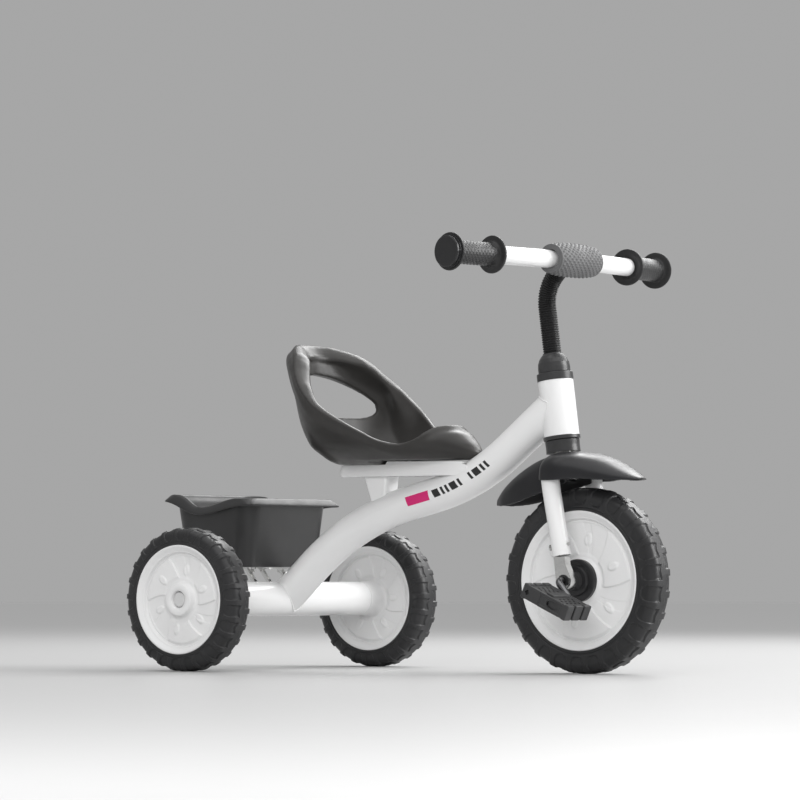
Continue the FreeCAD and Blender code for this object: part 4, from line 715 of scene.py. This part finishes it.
# -------------------------------------------------------------------- fender
FRONT = [
    (478.6, 50.0, 259.0, 290.5), (481.0, 56.5, 258.8, 292.0), (485.0, 62.0, 258.5, 293.8), (490.0, 65.6, 258.3, 295.6),
    (497.0, 67.6, 258.2, 296.8), (508.0, 68.0, 258.2, 297.0),
    (520.0, 65.0, 259.0, 296.0), (533.0, 58.5, 260.0, 293.8), (547.0, 51.0, 260.0, 290.6),
    (562.0, 44.5, 258.8, 285.6), (578.0, 37.0, 258.2, 278.0), (592.0, 28.0, 258.4, 270.4), (603.0, 18.0, 258.4, 264.4),
    (610.0, 9.5, 257.8, 261.4)]
REAR = [
    (373.0, 5.0, 226.2, 236.0), (384.0, 13.0, 225.4, 248.0), (402.0, 21.0, 226.6, 262.8), (424.0, 27.0, 230.4, 276.6),
    (446.0, 30.0, 237.0, 287.0), (468.0, 31.5, 243.0, 293.0), (490.0, 32.0, 251.0, 294.0), (506.0, 32.0, 255.5, 293.0)]


def hat(x, w, lo, hi, power, m=40):
    th = np.linspace(0, math.pi, m)
    c, s = np.cos(th), np.sin(th)
    y = w * np.sign(c) * np.abs(c) ** (2 / power)
    z = lo + (hi - lo) * np.abs(s) ** (2 / power)
    return np.stack([np.full(m, x), y, z], 1)


def leaf(table, x0, x1, n, power, wall):
    xs = np.linspace(x0, x1, n)
    w, lo, hi = spline_table(table, xs)
    rows = []
    for i, x in enumerate(xs):
        p = power(x)
        t = min(wall, (hi[i] - lo[i]) * 0.35, w[i] * 0.35)
        o = hat(x, w[i], lo[i], hi[i], p)
        q = hat(x, w[i] - t, lo[i], hi[i] - t, p)[::-1]
        e0, e1 = o[-1:] * [1, 1, 1] + [0, t * 0.5, -0.9], o[:1] + [0, -t * 0.5, -0.9]
        rows.append(np.concatenate([o, e0, q, e1], 0))
    P = np.array(rows)
    F = grid_faces(n, P.shape[1], False, True)
    m = P.shape[1]
    F.append(list(range(m)))
    F.append(list(range((n - 1) * m, n * m))[::-1])
    return P, F


def build_fender():
    P1, F1 = leaf(FRONT, 478.6, 610.0, 70, lambda x: 3.1 - 0.7 * float(smooth(520, 560, x)), 2.8)
    P2, F2 = leaf(REAR, 373.0, 506.0, 60, lambda x: 2.25, 2.8)
    obs = []
    for nm, P, F in (("fl", P1, F1), ("rl", P2, F2)):
        me = bpy.data.meshes.new(nm)
        me.from_pydata(mm(P).reshape(-1, 3).tolist(), [], F)
        bm = bmesh.new()
        bm.from_mesh(me)
        bmesh.ops.recalc_face_normals(bm, faces=bm.faces)
        bm.to_mesh(me)
        bm.free()
        ob = bpy.data.objects.new(nm, me)
        bpy.context.scene.collection.objects.link(ob)
        obs.append(ob)
    # wall behind the legs
    th = hat(479.6, 52.0, 259.0, 291.0, 3.1)
    m = len(th)
    V = np.concatenate([th + [-0.8, 0, 0], th + [1.8, 0, 0]], 0)
    F = [list(range(m)), list(range(m, 2 * m))[::-1]] + [[i, (i + 1) % m, (i + 1) % m + m, i + m] for i in range(m)]
    me = bpy.data.meshes.new("wl")
    me.from_pydata(mm(V).tolist(), [], F)
    bm = bmesh.new()
    bm.from_mesh(me)
    bmesh.ops.recalc_face_normals(bm, faces=bm.faces)
    bm.to_mesh(me)
    bm.free()
    wall = bpy.data.objects.new("wl", me)
    bpy.context.scene.collection.objects.link(wall)
    # heel over the rear corners of the crown plate
    hp = [(470.4, -31.5), (479.8, -45.0), (479.8, 45.0), (470.4, 31.5)]
    V = np.array([(x, y, z) for z in (258.4, 270.8) for x, y in hp])
    F = [[3, 2, 1, 0], [4, 5, 6, 7]] + [[i, (i + 1) % 4, (i + 1) % 4 + 4, i + 4] for i in range(4)]
    me = bpy.data.meshes.new("hl")
    me.from_pydata(mm(V).tolist(), [], F)
    bm = bmesh.new()
    bm.from_mesh(me)
    bmesh.ops.recalc_face_normals(bm, faces=bm.faces)
    bm.to_mesh(me)
    bm.free()
    heel = bpy.data.objects.new("hl", me)
    bpy.context.scene.collection.objects.link(heel)
    # tools: the steerer and the lower cup's seat
    rake = math.radians(7.736)
    up = Vector((-math.sin(rake), 0, math.cos(rake)))
    base = Vector(((478.3 - XS) / 1000, 0, 0.3183))

    def rod(r, a, b):
        bm = bmesh.new()
        bmesh.ops.create_cone(bm, cap_ends=True, segments=48, radius1=r / 1000, radius2=r / 1000, depth=(b - a).length)
        mt = Matrix.Translation((a + b) / 2) @ (b - a).to_track_quat("Z", "Y").to_matrix().to_4x4()
        bmesh.ops.transform(bm, matrix=mt, verts=bm.verts)
        mx = bpy.data.meshes.new("rod")
        bm.to_mesh(mx)
        bm.free()
        ox = bpy.data.objects.new("rod", mx)
        bpy.context.scene.collection.objects.link(ox)
        return ox

    tools = [rod(23.7, base + up * -0.022, base + up * 0.03), rod(13.2, base + up * -0.08, base + up * 0.02)]
    m1 = obs[0].modifiers.new("u", "BOOLEAN")
    m1.operation, m1.object, m1.solver = "UNION", obs[1], "EXACT"
    m2 = obs[0].modifiers.new("w", "BOOLEAN")
    m2.operation, m2.object, m2.solver = "UNION", wall, "EXACT"
    m3 = obs[0].modifiers.new("h", "BOOLEAN")
    m3.operation, m3.object, m3.solver = "UNION", heel, "EXACT"
    for t in tools:
        md = obs[0].modifiers.new("c", "BOOLEAN")
        md.operation, md.object, md.solver = "DIFFERENCE", t, "EXACT"
    vx = obs[0].modifiers.new("vox", "REMESH")
    vx.mode, vx.voxel_size = "VOXEL", 0.00105
    sm = obs[0].modifiers.new("soft", "SMOOTH")
    sm.factor, sm.iterations = 0.5, 9
    dg = bpy.context.evaluated_depsgraph_get()
    out = bpy.data.meshes.new_from_object(obs[0].evaluated_get(dg))
    for o in obs + [wall, heel] + tools:
        bpy.data.objects.remove(o)
    return finish_piece("fender_shell_moulded", out, M["fender_plastic"], "steering", ["fender"])


build_fender()

# ------------------------------------------------------------------- cockpit
BX, BZ, SWEEP = 494.4, 555.0, math.radians(6.1)


def bar_turned(name, prof, side, nth, knurl, mat, node, step=0.8):
    """Turned about one half of the handlebar. prof: (distance along the bar, radius), closed through the bore."""
    pr = np.array(prof, float)
    th = np.arange(nth) / nth * TAU
    s = pr[:, 0][None, :]
    r = pr[:, 1][None, :] + knurl(pr[:, 0][None, :], pr[:, 1][None, :], th[:, None])
    d = np.array([-math.sin(SWEEP), side * math.cos(SWEEP), 0.0])
    e = np.array([math.cos(SWEEP), side * math.sin(SWEEP), 0.0])
    P = (np.array([BX, 0, BZ])[None, None] + d * s[..., None] + e * (r * np.cos(th)[:, None])[..., None]
         + np.array([0, 0, 1.0]) * (r * np.sin(th)[:, None])[..., None])
    return piece(name, P, grid_faces(nth, len(pr), True, True), mat, "steering", [node] if node else [])


def grip_knurl(s, r, th):
    on = smooth(166.5, 169.0, s) * (1 - smooth(233.0, 235.5, s)) * (r > 15.0)
    k = np.cos(s * TAU / 6.4) * np.cos(th * 15)
    return on * 0.42 * np.clip(k, 0, 1) ** 0.8 - on * 0.12


for side, tag in ((-1, "right"), (1, "left")):
    pts = [(156.0, 12.35), (156.0, 24.2), (156.4, 24.9), (157.4, 25.2), (158.8, 25.2), (159.7, 24.7), (160.0, 24.0),
           (160.3, 19.6), (161.0, 18.0), (162.6, 16.8), (165.0, 16.0), (167.0, 15.5)]
    body_pts = [(x, 15.5) for x in np.arange(167.6, 234.6, 0.55)]
    pts += body_pts + [(235.2, 15.5), (236.2, 16.1), (237.0, 17.4), (237.6, 20.2), (238.2, 24.2), (238.7, 24.9), (239.4, 25.2),
                       (240.4, 25.1), (240.9, 24.6), (241.0, 23.8), (241.0, 12.35)]
    bar_turned("grip_%s_moulded" % tag, pts, side, 168, grip_knurl, M["grip_rubber"], "grip_" + tag)


def build_pad():
    nth = 264
    th = np.arange(nth) / nth * TAU
    ys = np.arange(-47.2, 47.21, 0.56)
    rad = 23.0 - 3.4 * (np.abs(ys) / 48.0) ** 3.2
    prof = [(-47.8, 12.4), (-48.0, 13.2), (-48.0, 18.6), (-47.8, 19.3)]
    prof += list(zip(ys, rad))
    prof += [(47.8, 19.3), (48.0, 18.6), (48.0, 13.2), (47.8, 12.4)]
    pr = np.array(prof)
    on = (smooth(-46.2, -44.2, pr[:, 0]) * (1 - smooth(44.2, 46.2, pr[:, 0])))[None, :]
    # diamond dots in staggered rows
    k = np.cos(pr[:, 0][None, :] * TAU / 9.2) * np.cos(th[:, None] * 20)
    r = pr[:, 1][None, :] + on * (1.15 * np.clip(k, 0, 1) ** 0.8 - 0.7)
    P = np.stack([BX + r * np.cos(th)[:, None], np.broadcast_to(pr[:, 0][None], r.shape), BZ + r * np.sin(th)[:, None]], -1)
    return piece("bar_pad_moulded", P, grid_faces(nth, len(pr), True, True), M["pad_rubber"], "steering",
                 ["bar_pad"])


build_pad()


def build_sleeve():
    """Corrugated sleeve on the stem: along the steering axis, then bent forward."""
    rake = math.radians(7.736)
    ax = np.array([-math.sin(rake), math.cos(rake)])
    side = np.array([math.cos(rake), math.sin(rake)])
    base = np.array([478.3, 318.3])
    bar = np.array([BX, BZ]) - base
    bl = np.array([bar @ side, bar @ ax])
    a, b, c = np.array([0.0, 113.6]), np.array([0.0, 211.0]), bl
    u = (b - a) / np.linalg.norm(b - a)
    w = (c - b) / np.linalg.norm(c - b)
    turn = math.acos(u @ w)
    t = 55.0 * math.tan(turn / 2)
    p = b - u * t
    bis = (w - u) / np.linalg.norm(w - u)
    cen = b + bis * 55.0 / math.cos(turn / 2)
    arc = []
    v0 = p - cen
    for k in range(0, 25):
        th = -turn * k / 24
        arc.append(cen + np.array([v0[0] * math.cos(th) - v0[1] * math.sin(th), v0[0] * math.sin(th) + v0[1] * math.cos(th)]))
    line = resample([a] + arc + [c - w * 17.0], 0.42)
    L = np.concatenate([[0], np.cumsum(np.linalg.norm(np.diff(line, axis=0), axis=1))])
    tang = np.gradient(line, axis=0)
    tang /= np.linalg.norm(tang, axis=1, keepdims=True)
    nrm = np.stack([tang[:, 1], -tang[:, 0]], 1)
    rib = 0.5 + 0.5 * np.cos(TAU * L / 3.2)
    rad = 11.0 + 1.4 * np.sqrt(rib)
    rad[0] = rad[-1] = 11.0
    nth = 72
    th = np.arange(nth) / nth * TAU

    def ring(i, r):
        loc = line[i][None] + nrm[i][None] * (r * np.cos(th))[:, None]
        x = base[0] + loc[:, 0] * side[0] + loc[:, 1] * ax[0]
        z = base[1] + loc[:, 0] * side[1] + loc[:, 1] * ax[1]
        return np.stack([x, r * np.sin(th), z], 1)

    rows = [ring(i, rad[i]) for i in range(len(line))]
    rows += [ring(i, 10.15) for i in range(len(line) - 1, -1, -6)] + [ring(0, 10.15)]
    P = np.stack(rows, 1)
    return piece("stem_sleeve_corrugated", P, grid_faces(nth, P.shape[1], True, True), M["sleeve_black"], "steering",
                 ["stem_sleeve"])


build_sleeve()


# -------------------------------------------------------------------- pedals
def pedal_shape():
    """The moulding in its own frame, mm: x along the tread, y outward along the spindle, z up."""
    bm = bmesh.new()

    def block(x0, x1, y0, y1, z0, z1, bev=0.8, seg=2, taper=0.0):
        res = bmesh.ops.create_cube(bm, size=1.0)
        vs = res["verts"]
        for v in vs:
            v.co.x = x0 if v.co.x < 0 else x1
            v.co.y = y0 if v.co.y < 0 else y1
            v.co.z = z0 if v.co.z < 0 else z1
            if taper:
                v.co.z *= 1 - taper * (abs(v.co.x) > 36)
        es = list({e for v in vs for e in v.link_edges})
        bmesh.ops.bevel(bm, geom=es, offset=bev, segments=seg, affect="EDGES", profile=0.6)

    # y runs outward: 78 is the crank side, 132 the outer end
    block(-33.5, 33.5, 80.0, 130.6, -8.4, 8.4, 1.2)
    for zs in (-1, 1):                            # raised bar over the spindle, top and bottom
        lo, hi = sorted((zs * 7.5, zs * 11.4))
        block(-6.2, 6.2, 86.0, 124.0, lo, hi, 2.2, 3)
        lo, hi = sorted((zs * 7.6, zs * 9.6))
        block(-34.0, 34.0, 127.2, 131.6, lo, hi, 0.9)
        block(-34.0, 34.0, 78.4, 81.6, lo, hi, 0.9)
    for xs in (-1, 1):                            # tread blocks on the long edges
        for y0, y1 in ((78.4, 93.2), (96.6, 113.4), (116.8, 131.6)):
            lo, hi = sorted((xs * 31.5, xs * 38.8))
            block(lo, hi, y0, y1, -10.4, 10.4, 1.7, 3)
    block(-36.0, -9.5, 129.6, 132.0, -7.6, 7.6, 1.1)
    block(-8.0, 2.0, 128.0, 131.2, -7.2, 7.2, 1.0)
    block(27.0, 36.0, 129.6, 132.0, -7.6, 7.6, 1.1)
    for zs in (-1, 1):
        lo, hi = sorted((zs * 6.2, zs * 9.8))
        block(-8.5, 28.0, 129.6, 132.0, lo, hi, 1.0)
    me = bpy.data.meshes.new("pedal_raw")
    bm.to_mesh(me)
    bm.free()
    ob = bpy.data.objects.new("pedal_raw", me)
    bpy.context.scene.collection.objects.link(ob)
    # tools: rows of small round holes, the window, the square hole and the spindle bore
    bt = bmesh.new()
    bore = bmesh.new()

    def hole(x, y, z, r, depth, axis="Z", sx=1.0, seg=10, bt=bt):
        res = bmesh.ops.create_cone(bt, cap_ends=True, segments=seg, radius1=r, radius2=r, depth=depth)
        mt = Matrix.Translation((x, y, z))
        if axis == "Y":
            mt = mt @ Matrix.Rotation(math.pi / 2, 4, "X")
        mt = mt @ Matrix.Diagonal((sx, 1, 1, 1))
        bmesh.ops.transform(bt, matrix=mt, verts=res["verts"])

    for zs in (-1, 1):
        for xs in (-1, 1):
            for row, off in ((12.4, 0.0), (18.4, 4.2), (24.6, 0.0)):
                for k in range(4):
                    hole(xs * row, 88.5 + off + 9.2 * k, zs * 8.4, 2.0, 5.0)
    hole(13.0, 132.2, 0.0, 4.9, 9.0, "Y", 2.1, 28)
    hole(-30.0, 131.5, 0.0, 4.2, 7.0, "Y", 1.0, 4)
    hole(0.0, 96.6, 0.0, 5.2, 63.0, "Y", 1.0, 32, bore)
    tools = []
    for q in (bt, bore):
        mt = bpy.data.meshes.new("pedal_tools")
        q.to_mesh(mt)
        q.free()
        to = bpy.data.objects.new("pedal_tools", mt)
        bpy.context.scene.collection.objects.link(to)
        tools.append(to)
    # join the overlapping blocks first, then cut
    vx = ob.modifiers.new("join", "REMESH")
    vx.mode, vx.voxel_size = "VOXEL", 0.42
    for to in tools:
        md = ob.modifiers.new("cut", "BOOLEAN")
        md.operation, md.object, md.solver = "DIFFERENCE", to, "EXACT"
    dg = bpy.context.evaluated_depsgraph_get()
    out = bpy.data.meshes.new_from_object(ob.evaluated_get(dg))
    for o in [ob] + tools:
        bpy.data.objects.remove(o)
    return out


def build_pedal(side, tag, shape):
    ca, sa = math.cos(math.radians(50.4)), math.sin(math.radians(50.4))
    cx, cz = FXC - side * 35.6 * ca, FZC + side * 35.6 * sa
    tilt = math.radians(24.0)
    out = shape.copy()
    co = np.zeros(len(out.vertices) * 3)
    out.vertices.foreach_get("co", co)
    co = co.reshape(-1, 3)
    x, y, z = co[:, 0], co[:, 1] * side, co[:, 2]
    X = cx + x * math.cos(tilt) + z * math.sin(tilt)
    Z = cz - x * math.sin(tilt) + z * math.cos(tilt)
    out.vertices.foreach_set("co", mm(np.stack([X, y, Z], 1)).ravel())
    if side < 0:
        out.flip_normals()
    return finish_piece("pedal_%s_moulded" % tag, out, M["fitting_plastic"], "pedal_" + tag,
                        ["pedal_" + tag], sharp=38)


SHAPE = pedal_shape()
build_pedal(-1, "right", SHAPE)
build_pedal(1, "left", SHAPE)


# ------------------------------------------------------- weld beads, graphics
def tube_axis_point(s):
    x = np.interp(s, PATH_S, PATH[:, 0])
    z = np.interp(s, PATH_S, PATH[:, 1])
    return x, z


def on_main_tube(s, ang, r=24.0, side=-1):
    """Point of the main tube: s along it, ang up from its widest line on that side."""
    s, ang = np.broadcast_arrays(np.asarray(s, float), np.asarray(ang, float))
    x, z = tube_axis_point(s)
    x2, z2 = tube_axis_point(s + 0.5)
    x1, z1 = tube_axis_point(s - 0.5)
    tx, tz = x2 - x1, z2 - z1
    L = np.hypot(tx, tz)
    tx, tz = tx / L, tz / L
    nx, nz = -tz, tx
    return np.stack([x + nx * r * np.sin(ang), side * r * np.cos(ang), z + nz * r * np.sin(ang)], -1)


def patch(name, corners, mat, slot, side=-1, thick=0.22, nu=10, nv=6):
    """Thin film on the main tube between four (s, height) corners, in order round it; height is the arc length in mm."""
    c = np.array(corners, float)
    u = np.linspace(0, 1, nu)[:, None]
    v = np.linspace(0, 1, nv)[None, :]
    S = (1 - u) * (1 - v) * c[0, 0] + u * (1 - v) * c[1, 0] + u * v * c[2, 0] + (1 - u) * v * c[3, 0]
    H = (1 - u) * (1 - v) * c[0, 1] + u * (1 - v) * c[1, 1] + u * v * c[2, 1] + (1 - u) * v * c[3, 1]
    top = on_main_tube(S, H / 24.0, 24.0 + thick, side)
    low = on_main_tube(S, H / 24.0, 23.9, side)
    V = np.concatenate([top.reshape(-1, 3), low.reshape(-1, 3)])
    F = grid_faces(nu, nv, False, False) + grid_faces(nu, nv, False, False, nu * nv)
    rim = [i * nv for i in range(nu)] + [(nu - 1) * nv + j for j in range(1, nv)] + \
          [i * nv + nv - 1 for i in range(nu - 2, -1, -1)] + [j for j in range(nv - 2, 0, -1)]
    for a, b in zip(rim, rim[1:] + rim[:1]):
        F.append([a, b, b + nu * nv, a + nu * nv])
    return V, F


def films(name, polys, mat, slot, side):
    V, F, off = [], [], 0
    for c in polys:
        v, f = patch(name, c, mat, slot, side)
        V.append(v)
        F += [[i + off for i in q] for q in f]
        off += len(v)
    return piece(name, np.concatenate(V), F, mat, "frame", sharp=50)


LABEL = [(274.0, -8.0), (312.0, -8.4), (312.0, 5.2), (272.0, 5.2)]
for side, tag in ((-1, "right"), (1, "left")):
    films("pink_label_" + tag, [LABEL], M["pink"], "white_paint", side)
    marks = []
    for s0, wdt in ((318, 11.0), (333, 4.0), (341, 4.0), (349, 11.0), (364, 4.0), (384, 4.0), (392, 11.0), (407, 4.0), (415, 4.0)):
        marks.append([(s0 + 3.0, -7.6), (s0 + 3.0 + wdt, -7.6), (s0 + wdt, 3.4), (s0, 3.4)])
    films("dash_row_" + tag, marks, M["ink"], "white_paint", side)


def weld(name, axis_p, axis_d, run_p, run_d, R1, R2, sign):
    """Bead along the line where a tube (run) meets another (axis), both in the XZ plane, mm."""
    n = 300
    ph = np.arange(n) / n * TAU
    run_d = run_d / np.linalg.norm(run_d)
    axis_d = axis_d / np.linalg.norm(axis_d)
    n1 = np.array([0, 1.0, 0])
    n2 = np.cross(run_d, n1)
    pts = []
    for a in ph:
        o = run_p + R2 * (math.cos(a) * n1 + math.sin(a) * n2)
        # |(o + s d - p) x axis| = R1
        m = o - axis_p
        dd = run_d - axis_d * (run_d @ axis_d)
        mmv = m - axis_d * (m @ axis_d)
        A, B, C = dd @ dd, 2 * dd @ mmv, mmv @ mmv - R1 * R1
        disc_ = max(B * B - 4 * A * C, 0.0)
        s = (-B + sign * math.sqrt(disc_)) / (2 * A)
        pts.append(o + run_d * s)
    pts = np.array(pts)
    m = 12
    tang = np.roll(pts, -1, 0) - np.roll(pts, 1, 0)
    tang /= np.linalg.norm(tang, axis=1, keepdims=True)
    out = pts - (axis_p + ((pts - axis_p) @ axis_d)[:, None] * axis_d)
    out /= np.linalg.norm(out, axis=1, keepdims=True)
    e1 = out - tang * np.sum(out * tang, 1, keepdims=True)
    e1 /= np.linalg.norm(e1, axis=1, keepdims=True)
    e2 = np.cross(tang, e1)
    rip = 1.05 + 0.10 * np.sin(np.arange(n) / n * TAU * 46)
    b = np.arange(m) / m * TAU
    P = pts[:, None, :] + rip[:, None, None] * (np.cos(b)[None, :, None] * e1[:, None, :] + np.sin(b)[None, :, None] * e2[:, None, :])
    return piece(name, P, grid_faces(n, m, True, True), M["white_paint"], "frame")


rk = math.radians(7.736)
weld("head_tube_weld", np.array([478.3, 0, 318.3]), np.array([-math.sin(rk), 0, math.cos(rk)]), np.array([337.2, 0, 258.7]),
     np.array([472.2 - 337.2, 0, 363.2 - 258.7]), 24.0, 24.0, -1)
weld("axle_tube_weld", np.array([0.0, 0, 98.3]), np.array([0, 1.0, 0]), np.array([125.7, 0, 208.1]),
     np.array([0.0 - 125.7, 0, 98.3 - 208.1]), 24.0, 24.0, -1)


# --------------------------------------------------------------- studio stage
def flat(name, verts, faces, mat):
    me = bpy.data.meshes.new(name)
    me.from_pydata(verts, [], faces)
    me.materials.append(mat)
    me.update()
    o = bpy.data.objects.new(name, me)
    bpy.context.scene.collection.objects.link(o)
    return o


floor_mat = material("pale_studio_floor", (0.49, 0.49, 0.49), 0.42, vary=0.004, bump=0.0, rough_vary=0.004, spec=0.12)
NF = 128
RF = 14.9
flat("studio_floor", [(RF * math.cos(TAU * k / NF), RF * math.sin(TAU * k / NF), 0.0) for k in range(NF)],
     [list(range(NF))], floor_mat)

world = bpy.data.worlds.new("studio_world")
bpy.context.scene.world = world
world.use_nodes = True
bg = world.node_tree.nodes["Background"]
bg.inputs["Color"].default_value = (0.385, 0.385, 0.385, 1)
bg.inputs["Strength"].default_value = 1.0

MID = Vector((0.0, 0.0, 0.27))


def softbox(name, direction, dist, sx, sy, power):
    d = Vector(direction).normalized()
    l = bpy.data.lights.new(name, "AREA")
    l.shape = "RECTANGLE"
    l.size, l.size_y = sx, sy
    l.energy = power
    o = bpy.data.objects.new(name, l)
    o.location = MID + d * dist
    o.rotation_mode = "QUATERNION"
    o.rotation_quaternion = d.to_track_quat("Z", "Y")
    bpy.context.scene.collection.objects.link(o)
    o.visible_camera = False
    return o


softbox("key_right", (0.80, 0.50, 0.42), 3.2, 1.8, 1.8, 82)
softbox("back_top", (-0.05, 0.80, 0.66), 3.2, 2.8, 1.6, 75)
fill = softbox("fill_front", (0.48, -0.84, 0.27), 3.8, 2.8, 2.0, 60)
fill.visible_glossy = False

sun = bpy.data.lights.new("overhead", "SUN")
sun.energy = 1.2
sun.angle = math.radians(75)
so = bpy.data.objects.new("overhead", sun)
so.rotation_euler = (math.radians(8), math.radians(10), 0)
bpy.context.scene.collection.objects.link(so)

cam = bpy.data.cameras.new("camera")
cam.sensor_width = 36
cam.lens = 202.87
cam.clip_start, cam.clip_end = 0.1, 200
co = bpy.data.objects.new("camera", cam)
co.location = ((3994.463 - XS) / 1000, -4.949019, 0.133326)
co.rotation_euler = (math.radians(92.21), 0, math.radians(37.449))
bpy.context.scene.collection.objects.link(co)
bpy.context.scene.camera = co
bpy.context.scene.view_settings.view_transform = "Standard"
